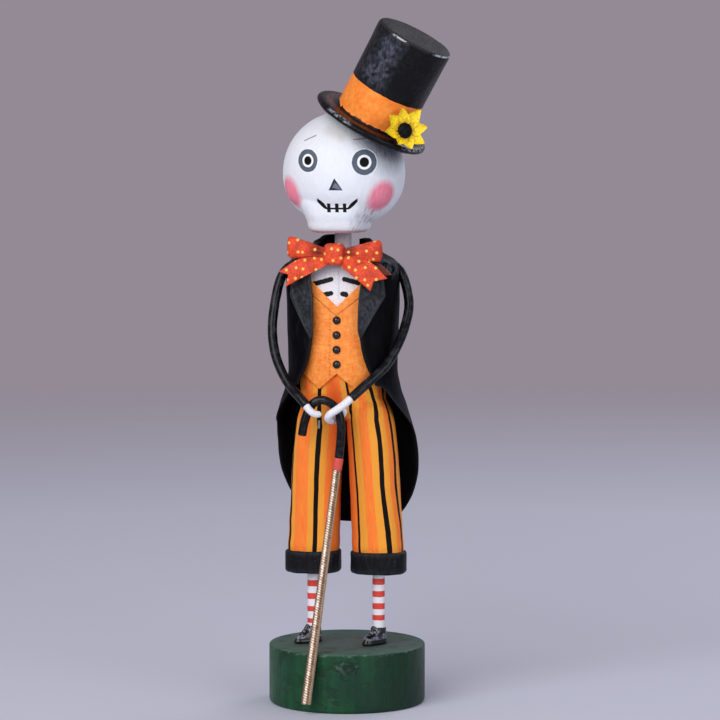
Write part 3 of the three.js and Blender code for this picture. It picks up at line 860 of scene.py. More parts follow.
# Half width of the coat's front opening by height.
OPENING = track(
    [
        (105.5, 13.6), (108.0, 11.6), (113.0, 9.4), (118.6, 8.2), (125.0, 7.7), (133.0, 7.9),
        (140.0, 8.6), (146.0, 8.6),
    ],
    1,
)


# Paints.


@dataclass(frozen=True)
class BlackPaint(Finish):
    """Black paint, dry-brushed or glossy, with a few worn spots."""

    name: str
    tone: str
    roughness: float
    # How much grey is brushed over it, and how much shows at the rims and in flecks.
    brushed: float = 0.0
    worn: float = 0.0
    # Clear gloss on top, how much finer the strokes are along each axis, and own gloss.
    coat: float = 0.0
    stretch: Colour = (1.0, 1.0, 0.25)
    specular: float = 0.09

    def mixed(self) -> Material:
        """Mix the paint.

        Returns:
            The material.
        """
        p = Palette(self.name)
        strokes = p.noise(1.1, 4.0, self.stretch)
        patches = p.noise(7.0, 2.0)
        grey = (strokes.above(0.56, 0.2) * patches.above(0.45, 0.3)) * self.brushed
        flecks = p.noise(0.8, 3.0).above(0.6, 0.12) * p.noise(5.0, 2.0).above(0.55, 0.15)
        worn = (p.noted("rim") * strokes.above(0.42, 0.2) * 0.8).most(flecks) * self.worn
        colour = p.coats(self.tone, (grey, "4b5058"), (worn, "8b9097"))
        relief = strokes * 0.10 + p.noise(2.6, 2.0) * 0.14
        rough = (self.roughness + (patches - 0.5) * 0.2 + worn * 0.15).held()
        return p.finish(colour, rough, relief, coat=self.coat, specular=self.specular)


@dataclass(frozen=True)
class ShoePaint(Finish):
    """Glossy black leather paint, with painted lavender-grey highlights along the sides."""

    # Heights of the welt, between which the highlights are painted.
    welt: tuple[float, float] = (21.2, 23.9)

    def mixed(self) -> Material:
        """Mix the paint.

        Returns:
            The material.
        """
        p = Palette("shoe_black")
        blotches = p.noise(2.0, 3.0)
        # Painted highlights: lavender-grey blotches along the welt stand in for the gloss on the
        # shoe's sides.
        highlight_lilac = p.mix(p.noise(0.6, 3.0).above(0.5, 0.2), "3a3a46", "8f90a2")
        side = p.z.within(*self.welt, 0.7) * blotches.above(0.52, 0.1)
        colour = p.mix(side * 0.85, "08080b", highlight_lilac)
        return p.finish(colour, 0.24, blotches * 0.12, coat=0.4, specular=0.4)


@dataclass(frozen=True)
class CoatPaint(Finish):
    """Satin black cloth paint, with a painted blue-grey sheen on the outside of the tails, stronger
    on the figure's left, and worn at the rims.
    """

    # Heights of the tails' painted sheen, of the worn shoulders and of the worn rims.
    tails: float = 100.0
    shoulders: float = 141.0
    upper: float = 124.0

    def mixed(self) -> Material:
        """Mix the paint.

        Returns:
            The material.
        """
        p = Palette("coat_black")
        outer = p.noted("outer")
        strokes = p.noise(1.6, 3.0, (1.0, 1.0, 0.22))
        patches = p.noise(9.0, 2.0)
        # Painted sheen: blue-grey strokes low on the outside of the tails, stronger towards +X,
        # stand in for the light caught there.
        left = p.x.above(0.0, 20.0) * 0.6 + 0.4
        painted_sheen = outer * p.z.below(self.tails, 20.0) * left * (strokes.above(0.54, 0.4) * 0.5 + 0.3)
        shoulder = outer * p.z.above(self.shoulders, 5.0) * p.y.below(0.0, 6.0)
        shoulder = shoulder * p.noise(1.6, 3.0).above(0.55, 0.16)
        rim = p.noted("rim") * (p.z.above(self.upper, 8.0) * 0.3 + 0.06)
        colour = p.coats(
            "070709",
            (painted_sheen * 0.55, "3a4250"),
            (outer * strokes.above(0.6, 0.2) * patches.above(0.45, 0.3) * 0.4, "1d2026"),
            (rim.most(shoulder * 0.4), "6c727b"),
        )
        seam = abs(p.x - MID_X).below(0.22, 0.2) * p.y.above(0.0, 1.0)
        relief = strokes * 0.12 + p.noise(4.0, 2.0) * 0.2 - seam * 0.25
        rough = (0.5 + (patches - 0.5) * 0.2 - painted_sheen * 0.12).held()
        return p.finish(colour, rough, relief, specular=0.04)


class LapelPaint(Finish):
    """Black lapels worn pale grey, most along their edges."""

    def mixed(self) -> Material:
        """Mix the paint.

        Returns:
            The material.
        """
        p = Palette("lapel_worn")
        strokes = p.noise(0.8, 5.0, (1.0, 1.0, 0.6))
        worn = strokes.above(0.45, 0.3) * p.noise(4.0, 3.0).above(0.4, 0.3) * 0.8
        worn = worn.most(p.noted("rim") * 0.75)
        colour = p.mix(worn * 0.65, "131416", p.mix(strokes, "30343a", "50565e"))
        return p.finish(colour, 0.5, strokes * 0.3, specular=0.15)


@dataclass(frozen=True)
class GreenPaint(Finish):
    """Dark green paint on the plinth, with brush marks and pale scuffs."""

    # Heights of the flat top and of the rubbed edge below it.
    top: float = 19.0
    edge: tuple[float, float] = (18.4, 19.2)

    def mixed(self) -> Material:
        """Mix the paint.

        Returns:
            The material.
        """
        p = Palette("plinth_green")
        streaks = p.noise(2.2, 4.0, (1.0, 1.0, 0.14))
        clouds = p.noise(9.0, 3.0, (1.0, 1.0, 0.6))
        fine = p.noise(0.7, 3.0)
        top = p.z.above(self.top, 0.3)
        dark = p.noise(4.0, 4.0).above(0.56, 0.06) * clouds.above(0.4, 0.2)
        side = p.coats(
            "153f26",
            (streaks.above(0.5, 0.4) * 0.7, "205a36"),
            (clouds.above(0.5, 0.35) * 0.6, "122e24"),
            # Random dark patches, plus painted shade that darkens the side towards +X.
            ((dark * 0.45).most(p.x.above(10.0, 14.0) * 0.62), "0f2219"),
        )
        centre = p.stroke((-4.0, -2.0), (8.0, 0.0), p.x, p.y).below(15.0, 12.0)
        plate = p.coats(
            p.mix(clouds, "315748", "536a60"),
            (centre * p.noise(3.0, 3.0).above(0.4, 0.3) * 0.7, "4c4f4c"),
            (p.noise(5.0, 4.0).above(0.6, 0.05) * 0.4, "26362f"),
        )
        patch = p.stroke((2.0, 15.4), (6.5, 14.8), p.x, p.z)
        chip = (patch + (fine - 0.5) * 4.0).below(1.7, 0.6) * p.y.below(0.0, 1.0)
        core = chip * p.noise(1.6, 3.0).above(0.54, 0.1)
        edge = p.z.within(*self.edge, 0.3) * p.noise(1.6, 3.0).above(0.6, 0.1)
        colour = p.coats(
            p.mix(top, side, plate),
            (chip * 0.55, "10201a"),
            ((core * 0.22).most(edge * 0.3), "71887c"),
        )
        relief = streaks * 0.12 + clouds * 0.3 + fine * 0.05 - dark * 0.08 - chip * 0.15
        rough = (0.42 + (clouds - 0.5) * 0.3 + top * 0.2).held()
        return p.finish(colour, rough, relief, specular=0.2)


@dataclass(frozen=True)
class SockPaint(Finish):
    """White rod with red bands painted round it."""

    name: str
    # Pairs of the heights between which it is red.
    bands: Table

    def mixed(self) -> Material:
        """Mix the paint.

        Returns:
            The material.
        """
        p = Palette(self.name)
        height = p.z + (p.noise(1.6, 2.0) - 0.5) * 0.35
        red = height.within(*self.bands[0])
        for band in self.bands[1:]:
            red = red + height.within(*band)
        mottle = p.noise(0.8, 3.0)
        colour = p.mix(red, "e3e4ea", p.mix(mottle, "cb2a1c", "de4a35"))
        return p.finish(colour, 0.45, mottle * 0.06 + p.noise(0.35, 1.0) * 0.03)


@dataclass(frozen=True)
class ChestPaint(Finish):
    """White chest with painted ribs and a pinkish neck."""

    # Both ends of each rib, across and up, and its half width.
    ribs: Sequence[tuple[Row, Row, float]] = (
        ((-9.4, 137.7), (-2.9, 139.45), 0.78),
        ((1.35, 139.5), (7.5, 137.9), 0.78),
        ((-6.2, 134.2), (-2.95, 134.95), 0.78),
        ((0.95, 134.75), (1.9, 134.6), 0.85),
    )
    neck: float = 147.6

    def mixed(self) -> Material:
        """Mix the paint.

        Returns:
            The material.
        """
        p = Palette("chest_white")
        wobble = (p.noise(1.1, 2.0) - 0.5) * 0.45
        ribs: Tone | float = 0.0
        for a, b, half in self.ribs:
            mark = (p.stroke(a, b, p.x, p.z) + wobble).below(half, 0.16)
            ribs = mark.most(ribs)
        grain = p.noise(0.7, 3.0)
        # Painted shade: a grey line down the middle of the upper chest darkens the crease there.
        middle = abs(p.x + 0.3 + (p.noise(3.0, 1.0) - 0.5))
        crease = middle.below(0.2, 0.5) * p.z.above(133.0, 2.0)
        colour = p.coats(
            WHITE,
            (grain * 0.5, "cfcdd6"),
            (crease * 0.3, "a9a6b2"),
            (p.z.above(self.neck, 1.2) * 0.7, "b49ca4"),
            (p.noise(0.45, 2.0).above(0.6, 0.08) * 0.3, "8f8d99"),
            (ribs, "0d0d0f"),
        )
        return p.finish(colour, 0.55, grain * 0.14 + ribs * 0.06 - crease * 0.15, specular=0.2)


@dataclass(frozen=True)
class WaistcoatPaint(Finish):
    """Orange waistcoat with a placket and a turned collar scored into it."""

    # Height of the collar's point, and places of the placket's seam and its stitches.
    collar: float = 127.6
    placket: float = -3.1
    stitch: float = 0.6

    def mixed(self) -> Material:
        """Mix the paint.

        Returns:
            The material.
        """
        p = Palette("waistcoat_orange")
        wander = (p.noise(4.0, 1.0) - 0.5) * 0.6
        slant = p.z - abs(p.x - MID_X) * 0.8 + wander
        collar = abs(slant - self.collar).below(0.16, 0.5)
        stitches = p.z.maths("PINGPONG", self.stitch).above(0.25, 0.3)
        placket = abs(p.x - self.placket + wander * 0.5).below(0.14, 0.3)
        score = collar.most(placket * slant.below(self.collar, 0.4) * stitches * 0.7)
        strokes = p.noise(0.8, 4.0, (1.0, 1.0, 0.5))
        across = p.noise(0.8, 4.0, (0.3, 1.0, 1.0))
        # Painted shade: darker strokes at the lower corner on the figure's left, under the left
        # arm.
        corner = p.stroke((10.2, 110.0), (6.2, 105.0), p.x, p.z).below(0.9, 1.2)
        colour = p.coats(
            "f17f2a",
            (strokes.above(0.5, 0.5), "ffaa52"),
            (across.above(0.54, 0.16) * 0.3, "df6a18"),
            (p.noise(6.0, 2.0).above(0.5, 0.3) * 0.3, "e2691a"),
            (corner * strokes.above(0.4, 0.3) * 0.6, "a94a16"),
            (score * 0.5, "b85a1e"),
        )
        relief = strokes * 0.12 + across * 0.2 - score * 0.25
        return p.finish(colour, 0.5, relief, specular=0.3)


class StripePaint(Finish):
    """Trouser stripes round each leg, black, gold and orange."""

    INKS = {"K": "0d0b0a", "Y": "e99c38", "O": "f57834"}
    # Colours round a leg by turn, in degrees from the front towards the figure's left.
    RIGHT = (
        (-180, "O"), (-153, "Y"), (-138, "K"), (-127, "Y"), (-114, "O"), (-81, "Y"), (-67.5, "K"),
        (-56, "Y"), (-43, "O"), (-9, "Y"), (4.6, "K"), (16.6, "Y"), (30, "O"), (63, "Y"),
        (84, "O"), (120, "Y"), (134, "K"), (145, "Y"), (159, "O"),
    )
    LEFT = (
        (-180, "Y"), (-174, "K"), (-165, "Y"), (-150, "O"), (-117, "Y"), (-102, "K"), (-93, "Y"),
        (-78, "O"), (-42.8, "K"), (-37, "Y"), (-21, "O"), (2, "Y"), (18.4, "K"), (30.2, "Y"),
        (45, "O"), (60, "K"), (70, "Y"), (85, "O"), (99, "Y"), (114, "K"), (123, "Y"), (138, "O"),
        (171, "Y"),
    )
    # Height of the cuff and length of a leg above it.
    FOOT = 49.0
    LENGTH = 53.0
    # A leg's distance from the middle, half width and half depth as powers of the height.
    OUT = (-8.6, 8.62, -4.484, 10.836)
    HALF = (-9.79, 10.424, -2.986, 8.342)
    DEPTH = (-5.08, 6.25, 6.94)
    MIDDLE_Y = -2.5

    def mixed(self) -> Material:
        """Mix the paint.

        Returns:
            The material.
        """
        p = Palette("trouser_stripes")
        t = (p.z - self.FOOT) / self.LENGTH
        out, half, depth = (t.powers(*terms) for terms in (self.OUT, self.HALF, self.DEPTH))
        wobble = (p.noise(3.0, 2.0, (1.0, 1.0, 0.35)) - 0.5) * 3.0
        legs = []
        for side, stops in ((-1.0, self.RIGHT), (1.0, self.LEFT)):
            across = (p.x - out * side) / half
            deep = (p.y - self.MIDDLE_Y) * -1.0 / depth
            turn = across.maths("ARCTAN2", deep) * math.degrees(1.0) + wobble
            turn = turn - self._drift(t, turn, side)
            marks = [((angle + 180) / 360, self.INKS[key]) for angle, key in stops]
            legs.append(p.steps((turn + 180.0) / 360.0, marks))
        stripes = p.mix(p.x.above(-0.4, 0.1), legs[0], legs[1])
        # The red share of a colour, which only black lacks, keeps the shades off the black.
        paint = p.node("ShaderNodeSeparateColor", inputs={0: stripes}).above(0.1, 0.05)
        strokes = p.noise(0.8, 4.0, (1.0, 1.0, 0.2))
        front = p.y.below(0.0, 1.0)
        # Painted shade in deep reds: between the legs, in a stroke at the crotch, and in patches at
        # the top under the waistcoat.
        inner = abs(p.x + 0.4).below(3.6, 4.0) * p.z.below(103.0, 10.0)
        crotch_shade = p.stroke((-2.4, 105.0), (-2.0, 95.0), p.x, p.z).below(2.0, 2.4) * front
        high = p.z.above(98.0, 8.0) * p.noise(3.0, 3.0).above(0.52, 0.12) * 0.5
        gold = p.stroke((1.0, 106.0), (2.4, 95.0), p.x, p.z).below(1.0, 0.5) * front
        fleck = p.stroke((-7.05, 93.4), (-7.1, 91.2), p.x, p.z).below(0.25, 0.3) * front
        low = p.z.below(51.5, 1.5) * p.noise(0.8, 3.0).above(0.5, 0.2)
        colour = p.coats(
            stripes,
            (strokes.above(0.5, 0.4) * paint * 0.35, "f5a03a"),
            (inner * paint * 0.6, "b8380d"),
            ((crotch_shade * 0.6).most(high) * paint, "cf4a16"),
            (gold * paint * 0.8, "e09a3c"),
            (fleck * 0.8, "b4b8be"),
            (low * paint * 0.5, "c26a14"),
        )
        relief = strokes * 0.16 + p.noise(3.0, 2.0) * 0.15
        return p.finish(colour, 0.55, relief, specular=0.1)

    @staticmethod
    def _drift(t: Tone, turn: Tone, side: float) -> Tone:
        """Say how far the stripes have drifted round a leg, in degrees.

        Args:
            t: Height up the leg, from 0 at the cuff to 1 at the crotch.
            turn: Place round the leg, in degrees.
            side: 1 for the figure's left leg and -1 for its right.

        Returns:
            The drift there.
        """
        if side < 0:
            return t.above(0.93, 0.26) * -21.0
        shift = t.above(0.25, 0.5) * 3.0 + t.above(0.9, 0.1) * 9.0 + 2.0
        return shift + (turn + 40.0) * (0.11 - t.above(0.3, 0.3) * 0.17)


@dataclass(frozen=True)
class BowPaint(Finish):
    """Mottled red-orange ribbon with small gold dots, with painted shade in the creases by the knot
    and on the ribbon behind it.
    """

    # Distance between dots, middle of the knot, and depth behind which the ribbon is painted dark
    # as shade.
    pitch: float = 2.9
    middle: tuple[float, float] = (-1.2, 148.9)
    behind: float = -15.1

    def mixed(self) -> Material:
        """Mix the paint.

        Returns:
            The material.
        """
        p = Palette("bow_dotted")
        flat = p.flat(p.x / self.pitch, p.z / self.pitch)
        cell = p.node(
            "ShaderNodeTexVoronoi",
            {"feature": "F1", "voronoi_dimensions": "2D"},
            {"Vector": flat, "Scale": 1.0, "Randomness": 0.6},
        )
        fine = p.noise(0.4, 3.0)
        ragged = cell + (fine - 0.5) * 0.08
        x, z = self.middle
        # Painted shade in the creases on both sides of the knot.
        fold_shade = abs(p.x - x).within(3.4, 6.8, 2.6) * abs(p.z - z).below(1.9, 1.4)
        colour = p.coats(
            "da3a20",
            (fine.above(0.5, 0.4), "fb6238"),
            (p.noise(3.5, 2.0).above(0.52, 0.25) * 0.6, "a02c1c"),
            (fold_shade * fine.above(0.36, 0.3) * 0.85, "451912"),
            (p.noise(0.35, 2.0).above(0.56, 0.1) * 0.5, "8c2a1c"),
            (ragged.below(0.19, 0.12) * 0.6, "f28a34"),
            (ragged.below(0.135, 0.09), "fdcb62"),
            # Painted shade: the ribbon behind the front is dark.
            (p.y.above(self.behind, 0.5) * 0.9, "431509"),
        )
        relief = fine * 0.18 + ragged.below(0.18, 0.1) * 0.08
        return p.finish(colour, 0.42, relief, specular=0.22)


class FacePaint(Finish):
    """White skull with its face painted on, and painted shade under the hat's brim, down its left
    side and under the jaw on that side.
    """

    # Middle of an eye across and up, share of its width to its height, and its half height.
    EYES = ((-12.42, 177.75, 0.84, 3.64), (5.61, 177.3, 0.97, 4.05))
    CHEEKS = (((-15.9, -12.6, 167.3), 5.2), ((13.7, -13.2, 166.1), 5.3))
    BROWS = (((-13.5, 184.1), (-9.9, 185.75)), ((2.2, 184.45), (5.95, 184.8)))
    STITCHES = (-5.72, -3.15, -0.66)
    NOSE_BASE = 168.34
    MOUTH_MIDDLE = -3.0
    MOUTH_HEIGHT = 162.45
    CHIN = (154.6, 155.25)

    def mixed(self) -> Material:
        """Mix the paint.

        Returns:
            The material.
        """
        p = Palette("skull_white")
        s = p.x * math.cos(SEEN_FROM) + p.y * math.sin(SEEN_FROM)
        front = p.y.below(-3.0, 1.0)
        shade_fade = p.y.below(0.0, 16.0)
        shake = (p.noise(1.4, 2.0) - 0.5) * 0.35
        fibre = p.noise(0.9, 4.0, (1.0, 1.0, 0.25))
        clouds = p.noise(8.0, 3.0)
        # Painted shade: grey under the hat's brim, down the head's side towards +X and under the
        # jaw there, broken up by scratches and thinning out towards the back.
        shade = p.away((16.0, -11.0, 184.5)).below(9.5, 9.0) * (fibre * 0.5 + 0.65)
        side = s.above(13.5, 9.0) * 0.18
        under = p.stroke((5.0, 158.5), (12.5, 163.0), s, p.z).below(2.2, 4.5) * 0.2
        scratch = fibre.above(0.5, 0.1) * 0.6 + 0.4
        hairs = p.brushed(s * 1.7 - p.z, (s * 0.5 + p.z * 0.87) * 0.35, 3.0).above(0.55, 0.1)
        jaw = p.stroke((3.2, 156.8), (8.2, 162.5), s, p.z).below(2.4, 2.8) * front
        smudge = p.stroke((-5.6, 187.6), (-1.6, 185.2), s, p.z).below(1.3, 2.2) * clouds * front
        colour = p.coats(
            p.mix(fibre * 0.35 + clouds * 0.2, "e9edf1", "cad0da"),
            (shade.most(side).most(under * scratch) * shade_fade, "666c78"),
            (hairs * jaw * 0.55, "94858f"),
            (smudge * 0.5, "b79a84"),
        )
        pink = p.mix(fibre, "da5874", "f08ca2")
        for centre, size in self.CHEEKS:
            blush = (p.away(centre) + shake * 2.0).below(size, 2.4)
            colour = p.mix(blush * 0.9, colour, pink)
        inks = [(p.z.within(*self.CHIN, 0.5) * 0.7, "d98a90")]
        for across, up, wide, size in self.EYES:
            dx = (s - across) / (size * wide)
            dz = (p.z - up) / size
            ring = (dx * dx + dz * dz).root() + shake * 0.06
            outline = ring.within(0.94, 1.03, 0.05) * p.noise(1.8, 3.0).above(0.48, 0.15)
            inks += [
                (ring.below(1.07, 0.05), "eef0f4"),
                (ring.below(1.0, 0.04), p.mix(fibre, "3f4956", "677280")),
                (outline * 0.55, "2d343e"),
                (ring.below(0.58, 0.04), "f2f2f5"),
                (ring.below(0.39, 0.04), "060505"),
            ]
        nose = self._nose(s, p.z, shake)
        inks.append((nose.below(0.0, 0.12), "2c323c"))
        # Painted shade: the nose's dark outline is wider on the half towards -X, where a recessed
        # wall would lie in shadow.
        inks.append(((nose + (s + 3.4).below(0.0, 1.0) * 0.45).below(-0.28, 0.25), "6d7789"))
        inks.append((self._mouth(s, p.z, shake), "0e0e10"))
        for a, b in self.BROWS:
            inks.append((p.stroke(a, b, s, p.z).below(0.16, 0.16) * 0.75, "3f444d"))
        colour = p.coats(colour, *((mask * front, ink) for mask, ink in inks))
        relief = fibre * 0.16 + p.noise(3.0, 2.0) * 0.16
        return p.finish(colour, 0.6, relief, specular=0.14)

    def _nose(self, s: Tone, z: Tone, shake: Tone) -> Tone:
        """Measure how far outside the nose's triangle a place is.

        Args:
            s: Place across.
            z: Height.
            shake: Unsteadiness of the hand.

        Returns:
            The distance, which is less than 0 inside.
        """
        up = z - self.NOSE_BASE
        left = (s * -0.913 + up * 0.407) - 5.25
        right = (s * 0.82 + up * 0.573) + 1.05
        return left.most(right).most(up * -1.0) + shake * 0.3

    def _mouth(self, s: Tone, z: Tone, shake: Tone) -> Tone:
        """Mark the smile and the stitches across it.

        Args:
            s: Place across.
            z: Height.
            shake: Unsteadiness of the hand.

        Returns:
            The mask.
        """
        out = abs(s - self.MOUTH_MIDDLE)
        rise = (out - 3.3).most(0.0) * 0.87
        half = (out - 3.2).held() * 0.5 + 0.3
        half = half - (out - 5.2).most(0.0) * 0.2
        line = (abs(z - rise - self.MOUTH_HEIGHT) + shake * 0.25).below(half, 0.14)
        line = line * out.below(6.5, 0.3)
        for at in self.STITCHES:
            bar = abs(s - at + (z - 162.6) * 0.05 + shake * 0.4).below(0.56, 0.14)
            line = line.most(bar * (abs(z - 162.65) + shake * 0.4).below(1.42, 0.14))
        return line


@dataclass(frozen=True)
class HatPaint(Finish):
    """Satin black hat with a painted orange band, a brown stroke round the brim, and painted
    highlights on the crown, the top's lip and the brim's rim.
    """

    # Middle of the brim and the hat's own axis.
    centre: Vector
    up: Vector
    # Heights of the band's two edges and of the flat top, and radii of crown and brown stroke.
    band: tuple[float, float] = (2.0, 12.2)
    top: float = 31.2
    crown: float = 14.0
    brown: tuple[float, float] = (14.3, 16.9)

    def mixed(self) -> Material:
        """Mix the paint.

        Returns:
            The material.
        """
        p = Palette("hat_black")
        h = p.along(self.centre, self.up)
        away = p.away(self.centre)
        r = (away * away - h * h).most(0.0).root()
        wobble = p.noise(2.2, 3.0) - 0.5
        strokes = p.noise(1.2, 4.0)
        clouds = p.noise(6.0, 2.0)
        low, high = self.band
        band = (h + wobble * 0.5).below(high, 0.12) * (h + wobble * 1.9).above(low, 0.12)
        band = band * r.below(self.crown, 0.3)
        top = h.above(self.top, 0.3)
        side = p.along(self.centre, AHEAD.cross(self.up).normalized())
        front = p.along(self.centre, AHEAD).below(-2.0, 2.0)
        # Painted highlights on the front: a blue-grey sheen with pale streaks on the crown towards
        # -X, pale lines on the top's lip and glints on the brim's rim.
        sheen = side.within(-9.6, -2.2, 4.0) * h.within(13.5, 30.0, 4.0) * front
        sheen = sheen * p.noise(1.4, 5.0, (0.6, 0.6, 1.0)).above(0.46, 0.3)
        hairs = p.brushed(side * 1.1 + h * 0.35, h * 0.4, 4.0).above(0.54, 0.2)
        lip = h.within(30.9, 31.4, 0.25) * (side.within(-6.6, -1.4, 1.0) + side.above(8.0, 2.0))
        rim = r.above(18.0, 0.4) * h.within(0.1, 1.0, 0.4) * front
        rim = rim * (side.within(-14.0, -6.0, 1.5) + side.above(13.0, 2.0))
        brown = (r + wobble * 1.6).within(*self.brown, 0.5) * h.above(0.4, 0.2)
        orange = p.mix(p.noise(1.4, 3.0).above(0.5, 0.6), "ee7a20", "ffa24a")
        colour = p.coats(
            "0c0c0f",
            (strokes.above(0.58, 0.2) * clouds.above(0.5, 0.3) * 0.3, "2c2f37"),
            # The sheen, its streaks, the lip lines and the rim glints below are painted highlights.
            (sheen * 0.5, "484f5e"),
            (sheen * hairs * 0.36, "7a808c"),
            (top * 0.9, p.mix(strokes, "1f2024", "34353b")),
            (lip * front * strokes.above(0.4, 0.15) * 0.8, "c4c9d0"),
            (rim * strokes.above(0.5, 0.2) * 0.6, "b4bac4"),
            (brown * strokes.above(0.4, 0.3) * 0.85, p.mix(clouds, "35140c", "6b3626")),
            (band, p.mix(clouds.above(0.55, 0.2) * 0.4, orange, "e0641c")),
        )
        relief = strokes * 0.22 + clouds * 0.5 + band * 0.05
        rough = (0.3 + (clouds - 0.5) * 0.25 + band * 0.2 + top * 0.3).held()
        return p.finish(colour, rough, relief, specular=0.15)


@dataclass(frozen=True)
class PetalPaint(Finish):
    """Yellow petals that turn ochre near the flower's middle."""

    centre: Vector

    def mixed(self) -> Material:
        """Mix the paint.

        Returns:
            The material.
        """
        p = Palette("petal_yellow")
        streaks = p.noise(0.6, 3.0)
        near = (p.away(self.centre) + (streaks - 0.5) * 2.5).below(3.4, 1.4)
        colour = p.mix(streaks.above(0.45, 0.4), "e0b406", "ffe322")
        colour = p.mix(near * 0.6, colour, "ad7606")
        return p.finish(colour, 0.42, streaks * 0.15, specular=0.35)


class WhitePaint(Finish):
    """Chalky white of the hands."""

    def mixed(self) -> Material:
        """Mix the paint.

        Returns:
            The material.
        """
        p = Palette("hand_white")
        grain = p.noise(0.8, 3.0)
        specks = p.noise(0.5, 2.0).above(0.62, 0.08)
        colour = p.coats(WHITE, (grain * 0.4, "c9ccd4"), (specks * 0.35, "9a9daa"))
        return p.finish(colour, 0.5, grain * 0.2, specular=0.25)


class RedPaint(Finish):
    """Coral red collar of the cane."""

    def mixed(self) -> Material:
        """Mix the paint.

        Returns:
            The material.
        """
        p = Palette("ferrule_red")
        grain = p.noise(0.7, 3.0)
        return p.finish(p.mix(grain, "bb3530", "dd5a50"), 0.42, grain * 0.1)


@dataclass(frozen=True)
class GiltPaint(Finish):
    """Gilt with fine turns round the cane, with a painted pale highlight down the side towards -X,
    painted brown shade round the rest and a painted lighter edge towards +X.
    """

    # Upper and lower end of the cane, and half the distance between its turns.
    top: Vector
    tip: Vector
    half_pitch: float = 0.42

    def mixed(self) -> Material:
        """Mix the paint.

        Returns:
            The material.
        """
        p = Palette("cane_gilt")
        across = (self.tip - self.top).cross(Vector((0.0, 1.0, 0.0))).normalized()
        streaks = p.noise(0.5, 4.0, (1.0, 1.0, 0.12))
        grain = p.noise(0.35, 2.0)
        side = p.along(self.top, across) + (streaks - 0.5) * 0.5
        slant = p.z + p.x * 0.4 + grain * 0.3
        rings = slant.maths("PINGPONG", self.half_pitch)
        bead = (rings * 2.4 + (p.noise(1.1, 2.0) - 0.5) * 2.4).above(0.45, 0.6)
        # Painted light and shade: a pale highlight strip down the side towards -X, brown shade
        # elsewhere, and a lighter edge towards +X.
        light = side.within(-0.85, 0.1, 0.4)
        brown = p.mix(bead, "664934", "987456")
        pale = p.mix(bead, "bea286", "fbf0df")
        colour = p.coats(brown, (light * 0.95, pale), (side.above(0.95, 0.2) * 0.6, "d8c2a4"))
        relief = grain * 0.05 + bead * 0.12
        return p.finish(colour, (0.36 - light * 0.08).held(), relief, metallic=0.35, specular=0.5)


# The figure's pieces.


def stack(sides: int, heights: Row, slices: Sequence[Section]) -> Piece:
    """Close a stack of level slices, given from the bottom."""
    rings = [partial(level.point, z=z) for level, z in zip(slices, heights)]
    return ring_stack(sides, rings)


def spread(low: float, high: float, count: int) -> list[float]:
    """Space numbers evenly between two ends."""
    return [lerp(low, high, i / count) for i in range(count + 1)]


def arc(centre: Row, size: float, angles: Row, tall: float = 1.0) -> Table:
    """Give points of a round edge at angles up from level, in degrees."""
    reach = [(size * math.cos(a), size * tall * math.sin(a)) for a in map(math.radians, angles)]
    return [(centre[0] + x, centre[1] + z) for x, z in reach]


def along_path(marks: Table, share: float) -> list[float]:
    """Follow straight stretches between rows that start with a share.

    Args:
        marks: Rows whose first number is the share, in rising order.
        share: Where to look.

    Returns:
        The rest of the row, blended between its neighbours.
    """
    i = 0
    while i < len(marks) - 2 and share > marks[i + 1][0]:
        i += 1
    a, b = marks[i], marks[i + 1]
    t = clamp((share - a[0]) / (b[0] - a[0]))
    return [lerp(p, q, t) for p, q in zip(a[1:], b[1:])]


def move(piece: Piece, matrix: Matrix) -> None:
    """Move a mesh's points, with the moves in millimetres."""
    scaled = Matrix.Scale(MM, 4) @ matrix @ Matrix.Scale(1 / MM, 4)
    piece.data.transform(scaled)


def note(piece: Piece, name: str, value: Callable[[bpy.types.MeshVertex], float]) -> None:
    """Note a number at every point of a mesh, for the paint to use."""
    attribute = piece.data.attributes.new(name, "FLOAT", "POINT")
    attribute.data.foreach_set("value", [value(point) for point in piece.data.vertices])


def nearness(marks: Sequence[Vector], reach: float) -> Callable[[bpy.types.MeshVertex], float]:
    """Make a measure that falls from 1 at some marks to 0 at a distance.

    Args:
        marks: The marks, in millimetres.
        reach: The distance, in millimetres.

    Returns:
        The measure of a mesh point.
    """
    tree = KDTree(len(marks))
    for i, mark in enumerate(marks):
        tree.insert(mark * MM, i)
    tree.balance()
    return lambda point: clamp(1 - tree.find(point.co)[2] / (reach * MM))


def outside(point: bpy.types.MeshVertex) -> float:
    """Tell whether a point of the coat faces away from the middle."""
    away = Vector((point.co.x - MID_X * MM, point.co.y - MID_Y * MM, 0.0))
    return 1.0 if point.normal.dot(away) > 0 else 0.0


GLOSS = BlackPaint("gloss_black", "0b0b0d", 0.25, brushed=0.12, coat=0.3, specular=0.35)
MATTE = BlackPaint("cuff_black", "111115", 0.5, brushed=0.08, worn=0.08)
SEED = BlackPaint("seed_black", "0d0c0b", 0.6, brushed=0.1, stretch=(1.0, 1.0, 1.0))
# The cord's dry-brushed grey is partly a painted highlight, standing in for blue-grey light along
# the arms and crook.
CORD = BlackPaint(
    "cord_black", "0a0a0e", 0.26, brushed=0.3, stretch=(0.5, 0.5, 0.5), specular=0.2
)

SIDES = (("right", -1), ("left", 1))


@dataclass
class Plinth:
    """Round base."""

    radius: float = 25.6
    height: float = 19.3
    low_edge: float = 1.2
    high_edge: float = 0.7

    def profile(self) -> Table:
        """Round the two edges of the turned disc.

        Returns:
            Pairs of radius and height.
        """
        r, h, e, f = self.radius, self.height, self.low_edge, self.high_edge
        low = arc((r - e, e), e, range(-90, 1, 15))
        wall = [(r, z) for z in spread(e, h - f, 12)[1:-1]]
        high = arc((r - f, h - f), f, range(0, 91, 15))
        top = [(r * share, h) for share in (0.8, 0.55, 0.25, 0.0)]
        return [(0.0, 0.0), *low, *wall, *high, *top]

    def build(self) -> None:
        """Build and dress it."""
        piece = turned(self.profile(), 160)
        shade(piece)
        enrol(piece, "plinth", ["base"], Slot.GREEN, GreenPaint())


